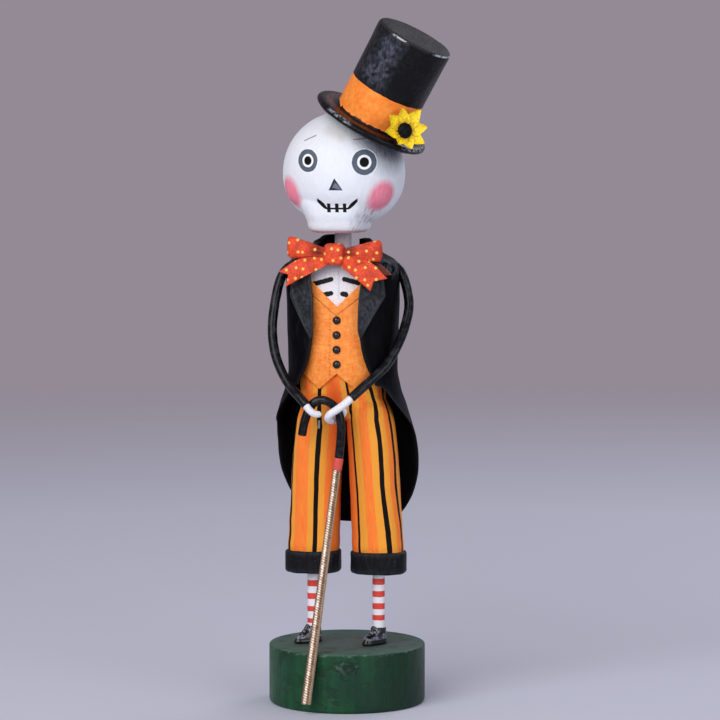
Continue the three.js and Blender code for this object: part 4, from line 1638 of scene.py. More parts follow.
@dataclass
class Legs:
    """Shoes, striped rods and cuffs."""

    spread_out: float = 10.85
    floor: float = 19.5
    rod_radius: float = 2.03
    rod_bottom: float = 24.2
    rod_top: float = 44.4
    shoe_half: float = 2.35
    shoe_toe: float = 7.3
    shoe_heel: float = 2.8
    toe_out: tuple[float, float] = (-47.0, -33.0)
    # Line of the tongue, and the height and reach of each lace and of its slack.
    tongue: Table = ((0, -2.0, 5.6), (0, -2.9, 4.6), (0, -4.2, 3.3), (0, -5.3, 2.6))
    laces: Table = ((4.5, 3.0), (3.7, 3.75), (3.0, 4.55))
    lace_half: float = 1.15
    lace_radius: float = 0.27
    cuff_low: float = 43.0
    cuff_high: float = 50.3
    cuff_half: float = 9.1
    cuff_depth: float = 8.2
    cuff_edge: float = 0.9
    cuff_power: float = 2.5
    # Height, and how far the toe, the sides and the heel are drawn in.
    shoe_rows: Table = (
        (0.0, 0.35, 0.3, 0.3), (0.25, 0.0, 0.0, 0.0), (0.85, 0.0, 0.0, 0.0),
        (0.95, 0.28, 0.25, 0.25), (1.25, 0.25, 0.15, 0.15), (1.8, 0.5, 0.15, 0.15),
        (2.7, 1.7, 0.25, 0.25), (3.5, 3.3, 0.2, 0.35), (4.4, 4.5, 0.1, 0.45),
        (5.2, 4.9, 0.05, 0.5), (5.5, 5.0, 0.35, 0.8),
    )
    shoe_paint: Finish = field(default_factory=ShoePaint)
    bands: tuple[Table, Table] = (
        ((25.9, 27.5), (29.7, 31.5), (33.8, 35.8), (38.0, 40.1)),
        ((27.35, 29.15), (31.0, 33.0), (35.05, 37.05), (39.1, 41.15)),
    )

    def build(self) -> None:
        """Build and dress both sides."""
        for (name, side), turn, bands in zip(SIDES, self.toe_out, self.bands):
            self._shoe(name, side, turn)
            paint = SockPaint("sock_" + name, bands)
            enrol(self._rod(side), "sock_" + name, ["leg_" + name], Slot.SOCK, paint)
            enrol(self._cuff(side), "cuff_" + name, ["body"], Slot.BODY, MATTE)

    def _shoe(self, name: str, side: int, turn: float) -> None:
        """Build a shoe with its welt, tongue and laces.

        Args:
            name: Which side, in words.
            side: Which side, as a sign.
            turn: How far the toe turns, in degrees.
        """
        follow = [track(self.shoe_rows, i) for i in (1, 2, 3)]
        heights = sorted({*(row[0] for row in self.shoe_rows), *spread(1.3, 5.1, 12)})
        slices = []
        for z in heights:
            toe, flank, heel = (pull(z) for pull in follow)
            half = self.shoe_half - flank
            slices.append(Section(0.0, 0.0, half, self.shoe_toe - toe, self.shoe_heel - heel, 2.6))
        parts = [stack(48, [z + self.floor for z in heights], slices)]
        shares = spread(0.0, 1.0, 10)
        parts.append(tube(Line(self.tongue), [(t, 0.75 - 0.35 * t) for t in shares], 16))
        for up, out in self.laces:
            low = [(x, 0.6 - out, up - 0.35) for x in (-self.lace_half, self.lace_half)]
            lace = Line([low[0], (0, -out - 0.25, up + 0.35), low[1]])
            parts.append(tube(lace, [(t, self.lace_radius) for t in shares], 10))
        for part in parts[1:]:
            move(part, Matrix.Translation((0, 0, self.floor)))
        piece = weld(parts, 0.16, 2)
        place = Matrix.Translation((side * self.spread_out, MID_Y, 0))
        move(piece, place @ Matrix.Rotation(math.radians(turn), 4, "Z"))
        shade(piece, 60)
        enrol(piece, "shoe_" + name, ["shoe_" + name], Slot.GLOSS, self.shoe_paint)

    def _rod(self, side: int) -> Piece:
        """Build the rod between shoe and cuff.

        Args:
            side: Which side.

        Returns:
            The rod.
        """
        heights = spread(self.rod_bottom, self.rod_top, 40)
        r = self.rod_radius
        rod = stack(32, heights, [Section(side * self.spread_out, MID_Y, r, r, r)] * len(heights))
        roughen(rod, 4.0, 0.12)
        shade(rod)
        return rod

    def _cuff(self, side: int) -> Piece:
        """Build a flattened bead of a cuff.

        Args:
            side: Which side.

        Returns:
            The cuff.
        """
        e, low, high = self.cuff_edge, self.cuff_low, self.cuff_high
        marks = [(low, e * 1.6), (low, e)]
        marks += [(z, e - x) for x, z in arc((0.0, low + e), e, range(-75, 1, 25))]
        marks += [(z, 0.0) for z in spread(low + e, high - e, 5)[1:]]
        marks += [(z, 1.3 * (e - x)) for x, z in arc((0.0, high - e), e, (25, 50, 75))]
        marks += [(high, e * 1.6), (high, e * 3.5)]
        slices = [self._cuff_slice(side, pull) for _, pull in marks]
        piece = stack(72, [z for z, _ in marks], slices)
        roughen(piece, 4.0, 0.3)
        shade(piece, 50)
        edge = self._cuff_slice(side, 0.2)
        turns = [math.tau * k / 90 for k in range(90)]
        rims = [edge.point(turn, z) for z in (low + 0.3, high - 0.3) for turn in turns]
        note(piece, "rim", nearness(rims, 1.3))
        return piece

    def _cuff_slice(self, side: int, pull: float) -> Section:
        """Give a slice of a cuff, drawn in by a pull."""
        x, depth = side * self.spread_out, self.cuff_depth - pull
        return Section(x, MID_Y, self.cuff_half - pull, depth, depth, self.cuff_power)


@dataclass
class Trousers:
    """Both trouser legs and the hips in one skin."""

    # Height, outer and inner reach from the middle, half depth and shift forwards.
    rows: Table = (
        (49.0, 19.1, 2.5, 7.2, 0.0), (60.0, 18.5, 2.1, 7.7, -0.3), (72.0, 17.9, 1.6, 8.4, -0.6),
        (84.0, 17.0, 1.1, 9.0, -0.8), (94.0, 15.7, 0.6, 9.3, -0.7),
        (102.0, 12.2, 0.4, 7.6, -0.4),
    )
    squareness: float = 2.3
    # Height, rise and spread of each fold over the cuff.
    folds: Table = ((52.5, 0.22, 6.0), (60.0, 0.12, 9.0))
    low: float = 48.2
    tucked: float = 0.5

    def _leg(self, side: int) -> Piece:
        """Stack one leg, a little baggy over the cuff.

        Args:
            side: Which side.

        Returns:
            The leg.
        """
        outer, inner, depth, shift = (track(self.rows, i) for i in range(1, 5))
        heights = spread(self.low, self.rows[-1][0], 44)
        slices = []
        for z in heights:
            sag = sum(rise * math.exp(-((z - at) ** 2) / wide) for at, rise, wide in self.folds)
            sag -= self.tucked if z < self.rows[0][0] else 0.0
            x = side * (outer(z) + inner(z)) / 2
            half, deep = (outer(z) - inner(z)) / 2 + sag, depth(z) + sag
            slices.append(Section(x, MID_Y + shift(z), half, deep, deep, self.squareness))
        return stack(64, heights, slices)

    def build(self) -> None:
        """Build and dress them."""
        heights = spread(93.5, 114.0, 16)
        hips = stack(64, heights, [TORSO.at(z) for z in heights])
        piece = weld([self._leg(-1), self._leg(1), hips], 0.55, 5)
        roughen(piece, 7.0, 0.3)
        shade(piece, 60)
        enrol(piece, "trousers", ["body"], Slot.BODY, StripePaint())


@dataclass
class Chest:
    """Chest, neck and waistcoat, and the waistcoat's buttons."""

    chest_low: float = 112.0
    chest_high: float = 148.4
    neck_radius: float = 2.75
    neck_top: float = 156.0
    waistcoat_half: float = 13.0
    waistcoat_proud: float = 0.9
    neck_point: float = 130.5
    # Distance from the middle and height of the waistcoat's hem.
    hem: Table = ((0.0, 109.0), (5.9, 103.9), (11.2, 108.5), (13.0, 109.5))
    button_x: float = -0.8
    button_radius: float = 1.35
    button_rise: float = 1.1
    button_first: float = 126.3
    button_pitch: float = 4.75
    button_count: int = 4

    def build(self) -> None:
        """Build and dress them."""
        heights = spread(self.chest_low, self.chest_high, 44)
        chest = stack(96, heights, [TORSO.at(z, -0.05) for z in heights])
        necks = spread(self.chest_high - 4, self.neck_top, 10)
        r = self.neck_radius
        neck = stack(32, necks, [Section(MID_X, MID_Y, r, r, r)] * len(necks))
        skin = weld([chest, neck], 0.45, 3)
        shade(skin, 60)
        enrol(skin, "chest", ["body"], Slot.BODY, ChestPaint())
        front = partial(self._waistcoat_point, grow=self.waistcoat_proud)
        cloth = sheet(88, 70, front, partial(self._waistcoat_point, grow=-0.6), 0.35)
        roughen(cloth, 5.0, 0.16)
        shade(cloth, 50)
        enrol(cloth, "waistcoat", ["body"], Slot.BODY, WaistcoatPaint())
        for index in range(self.button_count):
            self._button(index)

    def _waistcoat_point(self, u: float, v: float, grow: float) -> Vector:
        """Give a point of the waistcoat, from its hem up to its neckline.

        Args:
            u: From one side (-1) to the other (1).
            v: From the hem (0) to the neckline (1).
            grow: How far it stands off the torso.

        Returns:
            The point.
        """
        across = abs(u) * self.waistcoat_half
        hem = along_path(self.hem, across)[0]
        z = lerp(hem, self.neck_point + across * 0.98, v)
        placket = 0.22 * ease(u * self.waistcoat_half, -2.6, -2.1)
        x = MID_X + u * self.waistcoat_half
        return TORSO.at(z, grow + (placket if grow > 0 else 0.0)).front_at(x, z)

    def _button(self, index: int) -> None:
        """Turn a domed button and seat it on the waistcoat.

        Args:
            index: Which button, from the top.
        """
        r, rise = self.button_radius, self.button_rise
        dome = arc((0.0, 0.0), r, (20, 40, 60, 78), rise / r)
        piece = turned([(0.0, -0.4), (r * 0.97, -0.4), (r, 0.0), *dome, (0.0, rise)], 28)
        z = self.button_first - index * self.button_pitch
        spot = TORSO.at(z, self.waistcoat_proud + 0.25).front_at(self.button_x, z)
        move(piece, Matrix.Translation(spot) @ Matrix.Rotation(math.pi / 2, 4, "X"))
        shade(piece, 50)
        name = f"button_{index + 1}"
        enrol(piece, name, [name], Slot.GLOSS, GLOSS)


@dataclass
class Tailcoat:
    """Coat with its collar, lapels and long rounded tails."""

    thickness: float = 2.1
    tail_thickness: float = 1.4
    waist: float = 107.0
    collar_low: float = 146.0
    collar_high: float = 152.2
    collar_turn: float = math.radians(12)
    # Heights of the rows down to the waist.
    upper: Row = (
        152.2, 149.6, 148.2, 146.6, 144.8, 142.0, 137.0, 130.0, 123.0, 116.0, 107.0,
    )
    tail_rows: int = 5
    # Turn from the side towards the back, in degrees, and the height of the hem there.
    hem: Table = (
        (-50.0, 105.4), (-40.0, 104.3), (-27.0, 99.4), (0.0, 92.4), (16.0, 85.8), (26.0, 78.0),
        (37.0, 70.8), (48.0, 65.2), (60.0, 60.4), (73.0, 57.8), (90.0, 57.0),
    )
    # Place along the coat from its right front edge, and how far the collar stands above its row.
    lift: Table = (
        (-1.0, -1.2), (-0.7, -0.4), (-0.45, 1.1), (-0.2, 1.2), (-0.1, 1.0), (0.06, -2.9),
        (0.28, -2.9), (0.38, 0.1), (0.55, 0.1), (0.75, -0.6), (1.0, -1.2),
    )
    lapel_proud: float = 0.9
    lapel_low: float = 120.2
    lapel_high: float = 143.5
    lapel_corner: tuple[float, float] = (15.6, 134.0)

    def __post_init__(self) -> None:
        """Prepare the hem's curve."""
        self.hem_at = track(self.hem, 1)
        self.half_at = track(COAT_ROWS, 1)
        self.lift_at = track(self.lift, 1)

    def _edge(self, z: float, grow: float) -> float:
        """Give the turn of the front edge at a height.

        Args:
            z: The height.
            grow: How far the slice is grown.

        Returns:
            The turn in radians.
        """
        section = COAT.at(z, grow)
        share = min(1.0, OPENING(z) / section.half)
        edge = -math.acos(share ** (section.power / 2))
        return lerp(edge, -self.collar_turn, ease(z, self.collar_low, self.collar_high))

    def point(self, u: float, v: float, depth: float) -> Vector:
        """Give a point of the coat's outer (depth 0) or inner (depth 1) side.

        Args:
            u: From one front edge (-1) over the back (0) to the other (1).
            v: From the collar (0) down to the hem (1).
            depth: How deep in the cloth.

        Returns:
            The point in millimetres.
        """
        last = len(self.upper) - 1
        row = v * (last + self.tail_rows)
        i = min(int(row), last - 1)
        top = lerp(self.upper[i], self.upper[i + 1], min(row - i, 1.0))
        edge = self._edge(top, 0.0)
        turn = math.pi / 2 - abs(u) * (math.pi / 2 - edge)
        below = max(0.0, row - last) / self.tail_rows
        stand = max(0.0, (top - self.collar_low) / (self.collar_high - self.collar_low))
        z = lerp(top, self.hem_at(math.degrees(turn)), below) + self.lift_at(u) * stand**1.5
        slope = (self.half_at(z + 0.4) - self.half_at(z - 0.4)) / 0.8 if z > self.waist else 0.0
        inset = depth * lerp(self.tail_thickness, self.thickness, ease(z, 85.0, self.waist))
        rim = max(ease(abs(u), 0.9, 1.0), ease(v, 0.94, 1.0)) * ease(self.waist + 4 - z, 0.0, 8.0)
        inset *= 1 - 0.65 * rim
        grow = -inset / math.hypot(1.0, slope)
        edge = self._edge(top, grow)
        turn = math.pi / 2 - abs(u) * (math.pi / 2 - edge)
        return COAT.at(z, grow).point(math.pi - turn if u < 0 else turn, z - grow * slope)

    def build(self) -> None:
        """Build and dress it."""
        coat = sheet(130, 100, partial(self.point, depth=0.0), partial(self.point, depth=1.0), 0.5)
        roughen(coat, 9.0, 0.35)
        shade(coat, 50)
        ends = [self.point(side, v, 0.0) for v in spread(0.0, 1.0, 160) for side in (-1, 1)]
        rims = ends + [self.point(u, 1.0, 0.0) for u in spread(-1.0, 1.0, 200)]
        note(coat, "rim", nearness(rims, 1.5))
        note(coat, "outer", outside)
        enrol(coat, "coat", ["tailcoat"], Slot.COAT, CoatPaint())
        paint = LapelPaint()
        for name, side in SIDES:
            enrol(self._lapel(side), "lapel_" + name, ["tailcoat"], Slot.COAT, paint)

    def _lapel_point(self, u: float, v: float, side: int, grow: float) -> Vector:
        """Give a point of a lapel, from its front edge to its outer edge.

        Args:
            u: From the front edge (-1) to the outer edge (1).
            v: From its tip (0) up to its end (1).
            side: Which side.
            grow: How far it stands off the coat.

        Returns:
            The point.
        """
        wide, corner = self.lapel_corner
        z = lerp(self.lapel_low, self.lapel_high, v)
        inner = OPENING(z) - 0.3 * ease(v, 0.0, 0.15)
        start = OPENING(self.lapel_low) + 0.1
        edge = ((self.lapel_low, start), (corner, wide), (self.lapel_high, wide - 1.0))
        x = lerp(inner, along_path(edge, z)[0], (u + 1) / 2)
        lip = 0.4 * ease(u, 0.55, 0.85) + 0.25 * ease(-u, 0.6, 0.9) - 0.15
        rise = (grow + lip) * ease(v, -0.03, 0.1) if grow > 0 else grow
        return COAT.at(z, rise).front_at(MID_X + side * x, z)

    def _lapel(self, side: int) -> Piece:
        """Lay a lapel on a front panel.

        Args:
            side: Which side.

        Returns:
            The lapel.
        """
        front = partial(self._lapel_point, side=side, grow=self.lapel_proud)
        piece = sheet(26, 60, front, partial(self._lapel_point, side=side, grow=-0.7), 0.3)
        shade(piece, 50)
        rims = [front(u, v) for v in spread(0, 1, 90) for u in (-1, 1)]
        note(piece, "rim", nearness(rims, 1.0))
        return piece


@dataclass
class BowTie:
    """Knot, two loops and two tails of ribbon."""

    place: Vector = field(default_factory=lambda: Vector((-1.2, -15.9, 147.7)))
    knot: Vector = field(default_factory=lambda: Vector((6.5, 5.4, 7.0)))
    # Distance along a loop, its half height and its half depth.
    loop: Table = (
        (1.4, 1.6, 1.3), (4.2, 1.9, 1.7), (8.5, 2.7, 2.3), (12.6, 3.3, 2.3), (14.4, 3.5, 1.8),
        (15.2, 2.9, 1.2), (15.5, 1.6, 0.5),
    )
    rises: tuple[float, float] = (2.3, 1.2)
    loop_rings: int = 26
    # Upper edge, lower edge and notch of each ribbon end, and how far it lies behind.
    tails: Sequence[tuple[Table, Table, Row, float]] = (
        (
            ((-1.6, 0, -0.8), (-11.2, 0, -1.5), (-18.0, 0, -5.7)),
            ((-1.6, 0, -3.2), (-8.5, 0, -6.6), (-15.8, 0, -10.5)),
            (2.0, 0.0, 1.5),
            0.0,
        ),
        (
            ((1.6, 0, -0.8), (11.0, 0, -2.0), (17.2, 0, -7.6)),
            ((1.6, 0, -3.4), (6.7, 0, -7.4), (11.8, 0, -11.6)),
            (-1.6, 0.0, 1.0),
            0.0,
        ),
        (
            ((9.5, 0, -2.4), (14.5, 0, -3.2), (18.3, 0, -6.6)),
            ((8.5, 0, -4.0), (12.5, 0, -5.6), (15.6, 0, -8.0)),
            (-0.8, 0.0, 0.5),
            2.6,
        ),
    )

    def _knot(self) -> Piece:
        """Bevel a block and pinch it.

        Returns:
            The knot.
        """
        lay_down()
        bpy.ops.mesh.primitive_cube_add(size=1.0)
        piece = bpy.context.object
        for point in piece.data.vertices:
            point.co = Vector(a * b for a, b in zip(point.co, self.knot)) * MM
        modify(piece, "BEVEL", width=1.5 * MM, segments=4)
        return piece

    def _loop(self, side: int, rise: float) -> Piece:
        """Stack a loop's rings sideways, with creases running from the knot.

        Args:
            side: Which side.
            rise: How far its end rises.

        Returns:
            The loop.
        """
        half_at, deep_at = (track(self.loop, i) for i in (1, 2))
        start, reach = self.loop[0][0], self.loop[-1][0]
        turns = spread(0.0, math.pi / 2, self.loop_rings)
        marks = [start + (reach - start) * math.sin(turn) for turn in turns]

        def place(along: float, turn: float) -> Vector:
            """Put a point on a ring.

            Args:
                along: How far the ring is from the knot.
                turn: Angle round it.

            Returns:
                The point.
            """
            crease = 1 - 0.13 * (1 + math.cos(7 * turn + 0.6)) * (1 - ease(along, 3.0, 13.0))
            up = math.copysign(abs(math.cos(turn)) ** 0.7, math.cos(turn))
            y = 0.4 + deep_at(along) * math.sin(turn) * crease
            return Vector((side * along, y, rise * along / reach + half_at(along) * up * crease))

        return ring_stack(48, [partial(place, along) for along in marks])

    @staticmethod
    def _tail(upper: Table, lower: Table, inwards: Row, back: float) -> Piece:
        """Lay a swallow-tailed ribbon end.

        Args:
            upper: Its upper edge, from the knot outwards.
            lower: Its lower edge.
            inwards: How far the middle of its end is drawn in.
            back: How far it lies behind.

        Returns:
            The ribbon end.
        """
        top, bottom, notch = Line(upper), Line(lower), Vector(inwards)

        def place(u: float, v: float, y: float) -> Vector:
            """Put a point on the ribbon, which waves a little.

            Args:
                u: From the upper edge (-1) to the lower one (1).
                v: From the knot (0) to the end (1).
                y: Side of the ribbon.

            Returns:
                The point.
            """
            flat = top.at(v).lerp(bottom.at(v), (u + 1) / 2) + notch * (1 - abs(u)) * v * v
            wave = 0.22 * math.sin(5.0 * v + 1.5 * u) * ease(v, 0.1, 0.4)
            return Vector((flat.x, back + y + wave, flat.z))

        return sheet(20, 40, partial(place, y=-1.3), partial(place, y=0.2), 0.3)

    def build(self) -> None:
        """Build and dress it."""
        loops = [self._loop(side, rise) for (_, side), rise in zip(SIDES, self.rises)]
        tails = [self._tail(*tail) for tail in self.tails]
        piece = join([self._knot(), *loops, *tails])
        move(piece, Matrix.Translation(self.place))
        roughen(piece, 3.0, 0.2)
        shade(piece, 45)
        enrol(piece, "bow_tie", ["bow_tie"], Slot.BOW, BowPaint())


@dataclass
class Head:
    """Round skull with a jaw block under it."""

    centre: Vector = field(default_factory=lambda: Vector((-0.6, -2.0, 173.6)))
    radius: float = 19.9
    flat: float = 157.2
    under: float = 167.0
    under_share: float = 0.84
    jaw_x: float = -1.7
    jaw_power: float = 3.4
    # Height, half width, depth in front and depth behind.
    jaw: Table = (
        (154.4, 7.6, 12.2, 5.0), (154.9, 8.7, 13.4, 5.6), (155.9, 9.5, 14.4, 6.2),
        (158.0, 9.9, 15.2, 7.0), (160.6, 11.0, 16.1, 8.0), (164.5, 12.7, 16.5, 8.5),
        (168.0, 10.6, 14.4, 8.0),
    )

    def _skull(self) -> Piece:
        """Cut a ball off flat, a little shallower underneath.

        Returns:
            The skull.
        """
        lay_down()
        bpy.ops.mesh.primitive_uv_sphere_add(segments=96, ring_count=64, radius=self.radius * MM)
        piece = bpy.context.object
        piece.data.transform(Matrix.Translation(self.centre * MM))
        for point in piece.data.vertices:
            below = max(0.0, self.under * MM - point.co.z)
            point.co.z += below * (1 - self.under_share)
        bpy.ops.object.mode_set(mode="EDIT")
        bpy.ops.mesh.select_all(action="SELECT")
        bpy.ops.mesh.bisect(
            plane_co=(0, 0, self.flat * MM), plane_no=(0, 0, 1), clear_inner=True, use_fill=True
        )
        bpy.ops.object.mode_set(mode="OBJECT")
        return piece

    def _jaw(self) -> Piece:
        """Stack the jaw.

        Returns:
            The jaw.
        """
        half, front, back = (track(self.jaw, i) for i in (1, 2, 3))
        heights = [154.4, 154.6, 154.9, 155.3, *spread(155.9, 168.0, 24)]
        slices = [
            Section(self.jaw_x, MID_Y, half(z), front(z), back(z), self.jaw_power) for z in heights
        ]
        return stack(96, heights, slices)

    @staticmethod
    def _cheeks(piece: Piece) -> None:
        """Raise the cheeks a little.

        Args:
            piece: The head.
        """
        for centre, size in FacePaint.CHEEKS:
            middle = Vector(centre) * MM
            lifts = [
                0.8 * MM * (1 - clamp((point.co - middle).length / (size * 1.15 * MM)) ** 2) ** 2
                for point in piece.data.vertices
            ]
            moved = [p.co + p.normal * lift for p, lift in zip(piece.data.vertices, lifts)]
            for point, spot in zip(piece.data.vertices, moved):
                point.co = spot

    def build(self) -> None:
        """Build and dress it."""
        piece = weld([self._skull(), self._jaw()], 0.42, 4)
        self._cheeks(piece)
        shade(piece, 70)
        enrol(piece, "head", ["head"], Slot.BONE, FacePaint())


@dataclass
class Hat:
    """Top hat set at a slant, with a sunflower at its band."""

    side: float = math.radians(27.5)
    forward: float = math.radians(13.0)
    centre: Vector = field(default_factory=lambda: Vector((9.1, -6.5, 189.9)))
    brim_radius: float = 19.3
    brim_half: float = 1.2
    crown_radius: float = 12.8
    crown_edge: float = 1.2
    waist_radius: float = 12.5
    height: float = 31.8
    flower_turn: float = math.radians(36.5)
    flower_face: float = math.radians(22.0)
    flower_tilt: float = math.radians(30.0)
    flower_rise: float = 5.8
    flower_out: float = 5.0
    petal_half: float = 2.3
    petal_thickness: float = 0.45
    # Radius and height round the flower's middle.
    disc: Table = (
        (0, -6), (1.5, -6), (1.7, -2.5), (2.5, -0.5), (2.5, 0.8), (2.2, 1.3), (1.6, 1.7), (0, 2.0),
    )
    # Turn in degrees and length of each petal.
    petals: Table = (
        (28, 7.6), (71, 8.6), (116, 7.1), (159, 7.3), (204, 7.2), (260, 5.3), (306, 6.2),
        (346, 7.5),
    )
    # Share along a petal, share of its half width, and lift.
    petal_rows: Table = ((0.15, 0.5, 0.0), (0.5, 1.0, 0.2), (0.78, 0.58, 0.6), (1.0, 0.06, 1.1))

    def matrix(self) -> Matrix:
        """Stand the hat's axis the way it leans.

        Returns:
            The matrix from the hat's own place.
        """
        up = (
            Vector((0, 0, math.cos(self.side) * math.cos(self.forward)))
            + ACROSS * math.sin(self.side) * math.cos(self.forward)
            - AHEAD * math.sin(self.forward)
        )
        right = AHEAD.cross(up).normalized()
        back = up.cross(right)
        turn = Matrix((right, back, up)).transposed().to_4x4()
        return Matrix.Translation(self.centre) @ turn

    def profile(self) -> Table:
        """Draw the hat's outline from under the brim to the top.

        Returns:
            Pairs of radius and height.
        """
        r, half, h, edge = self.brim_radius, self.brim_half, self.height, self.crown_edge
        waist, crown, low = self.waist_radius, self.crown_radius, 0.3 * self.height
        under = [(x, -half) for x in (0.0, 10.0, 15.0, r - 1.7)]
        rim = arc((r - 1.4, 0.0), 1.4, range(-75, 76, 15), half / 1.4)
        over = [(x, half) for x in (r - 2.2, 15.5, 13.6)]
        foot = [(13.0, half + 0.15), (12.7, half + 0.6)]
        band = [(lerp(waist + 0.1, waist, t), lerp(2.2, low, t)) for t in spread(0, 1, 8)]
        wall = [(lerp(waist, crown, t), lerp(low, h - 1.3, t)) for t in spread(0, 1, 16)[1:]]
        shoulder = arc((crown - edge, h - edge), edge, (20, 45, 70, 90))
        top = [(9.0, h - 0.05), (5.0, h - 0.12), (0.0, h - 0.15)]
        return [*under, *rim, *over, *foot, *band, *wall, *shoulder, *top]

    def build(self) -> None:
        """Build and dress the hat and its flower."""
        matrix = self.matrix()
        up = matrix.to_3x3() @ Vector((0, 0, 1))
        piece = turned(self.profile(), 144)
        roughen(piece, 9.0, 0.35)
        move(piece, matrix)
        shade(piece, 40)
        enrol(piece, "hat", ["hat"], Slot.HAT, HatPaint(self.centre, up))
        self._flower(matrix)

    def _petal(self, turn: float, length: float) -> Piece:
        """Lay one pointed petal, cupped upwards.

        Args:
            turn: Its turn in degrees.
            length: Its length.

        Returns:
            The petal.
        """
        half_at, lift_at = (track(self.petal_rows, i) for i in (1, 2))

        def place(u: float, v: float, depth: float) -> Vector:
            """Put a point on the petal.

            Args:
                u: Across (-1 to 1).
                v: Along (0 to 1).
                depth: Side of the petal.

            Returns:
                The point.
            """
            share = lerp(0.15, 1.0, v)
            half = half_at(share) * self.petal_half
            cup = 0.5 * abs(u) ** 2 - 0.18 * (1 - abs(u)) * (1 - v)
            return Vector((share * length, u * half, lift_at(share) + cup + depth))

        half_thick = self.petal_thickness * 0.6
        over, under = partial(place, depth=half_thick), partial(place, depth=-half_thick)
        piece = sheet(12, 16, over, under, 0.16)
        move(piece, Matrix.Rotation(math.radians(turn), 4, "Z"))
        return piece

    def _flower(self, matrix: Matrix) -> None:
        """Set the petals round their disc and place the flower at the band.

        Args:
            matrix: The hat's matrix.
        """
        out, turn = self.waist_radius + self.flower_out, self.flower_turn
        spot = Vector((out * math.sin(turn), -out * math.cos(turn), self.flower_rise))
        place = matrix @ Matrix.Translation(spot)
        place = place @ Matrix.Rotation(self.flower_face, 4, "Z")
        place = place @ Matrix.Rotation(math.pi / 2 - self.flower_tilt, 4, "X")
        petals = join([self._petal(*row) for row in self.petals])
        disc = turned(self.disc, 40)
        for piece in (petals, disc):
            move(piece, place)
            shade(piece, 50)
        roughen(disc, 0.8, 0.18)
        middle = place @ Vector((0, 0, 0.6))
        enrol(petals, "petals", ["sunflower"], Slot.FLOWER, PetalPaint(middle))
        enrol(disc, "flower_disc", ["sunflower"], Slot.FLOWER, SEED)


@dataclass
class Arms:
    """Arms, hands and the cane that they hold."""

    arm_radius: float = 1.58
    right: Table = (
        (-15.8, -4.2, 144.0), (-18.4, -5.2, 142.8), (-20.3, -6.6, 140.1), (-21.9, -8.4, 133.5),
        (-22.6, -11.1, 123.2), (-21.1, -13.9, 115.2), (-18.2, -16.5, 109.2),
        (-15.3, -18.6, 105.2), (-11.7, -21.4, 102.0), (-9.8, -22.7, 100.2), (-8.9, -23.2, 99.3),
    )
    left: Table = (
        (14.2, 0.4, 144.0), (16.6, 0.5, 142.8), (18.6, 0.1, 139.6), (20.4, -1.0, 133.5),
        (20.8, -2.5, 129.4), (19.9, -5.8, 123.4), (18.0, -9.7, 117.4), (14.9, -13.8, 111.5),
        (9.1, -18.6, 105.7), (5.1, -21.3, 101.8),
    )
    hand_right: Table = (
        (-10.0, -22.7, 100.4), (-8.2, -23.4, 98.2), (-6.8, -23.2, 97.0), (-5.6, -22.5, 96.6),
        (-4.8, -21.5, 96.8),
    )
    hand_left: Table = (
        (5.4, -21.2, 102.0), (2.8, -22.1, 99.7), (0.4, -22.5, 98.0), (-1.6, -22.5, 96.6),
        (-2.4, -21.3, 95.3), (-2.0, -19.0, 94.4), (-0.9, -16.5, 94.3), (1.0, -15.5, 95.6),
        (2.3, -16.1, 97.9),
    )
    crook_radius: float = 1.42
    crook: Table = (
        (-11.1, -20.2, 89.4), (-10.4, -20.1, 93.4), (-9.1, -19.9, 97.3), (-7.4, -19.7, 99.9),
        (-5.1, -19.5, 101.0), (-2.6, -19.3, 100.4), (-0.6, -19.1, 98.8), (0.8, -18.9, 96.4),
        (1.4, -18.8, 93.4), (1.4, -18.7, 89.8), (1.1, -18.7, 86.0), (0.75, -18.75, 82.3),
    )
    shaft_top: tuple[float, float, float] = (0.05, -18.8, 78.3)
    shaft_tip: tuple[float, float, float] = (-8.2, -29.0, 3.6)
    ferrule_radius: float = 1.55

    def _rod(
        self,
        name: str,
        points: Table,
        radii: tuple[float, float],
        ends: tuple[float, float],
        dress: tuple[Slot, Finish],
    ) -> None:
        """Build and dress a bent rod.

        Args:
            name: Its name, and the solid it stands for.
            points: Points along it.
            radii: Radius at the start and at the end.
            ends: How far each end is rounded.
            dress: The record's finish and the paint.
        """
        line = Line(points)
        rows = max(6, int(line.length / 0.9))
        piece = tube(line, stations(line, radii, rows, ends), 28)
        roughen(piece, 2.5, 0.12)
        shade(piece, 60)
        enrol(piece, name, [name], *dress)

    def build(self) -> None:
        """Build and dress them."""
        r = self.arm_radius
        for name, points in (("arm_right", self.right), ("arm_left", self.left)):
            self._rod(name, points, (r, r * 0.96), (1.2, 0.6), (Slot.ARM, CORD))
        white = WhitePaint()
        self._rod("hand_right", self.hand_right, (1.25, 1.05), (0.6, 0.9), (Slot.BONE, white))
        self._rod("hand_left", self.hand_left, (1.3, 1.1), (0.8, 0.95), (Slot.BONE, white))
        c = self.crook_radius
        self._rod("cane_crook", self.crook, (c, c), (0.5, 0.2), (Slot.ARM, CORD))
        f = self.ferrule_radius
        end, start, tip = (Vector(p) for p in (self.crook[-1], self.shaft_top, self.shaft_tip))
        ferrule = [end, end.lerp(start, 0.5), start]
        self._rod("cane_ferrule", ferrule, (f, f), (0.45, 0.45), (Slot.RED, RedPaint()))
        shaft = [start.lerp(tip, share) for share in spread(0.0, 1.0, 4)]
        self._rod("cane_shaft", shaft, (1.25, 1.6), (0.2, 0.4), (Slot.GILT, GiltPaint(start, tip)))


# Light and camera.


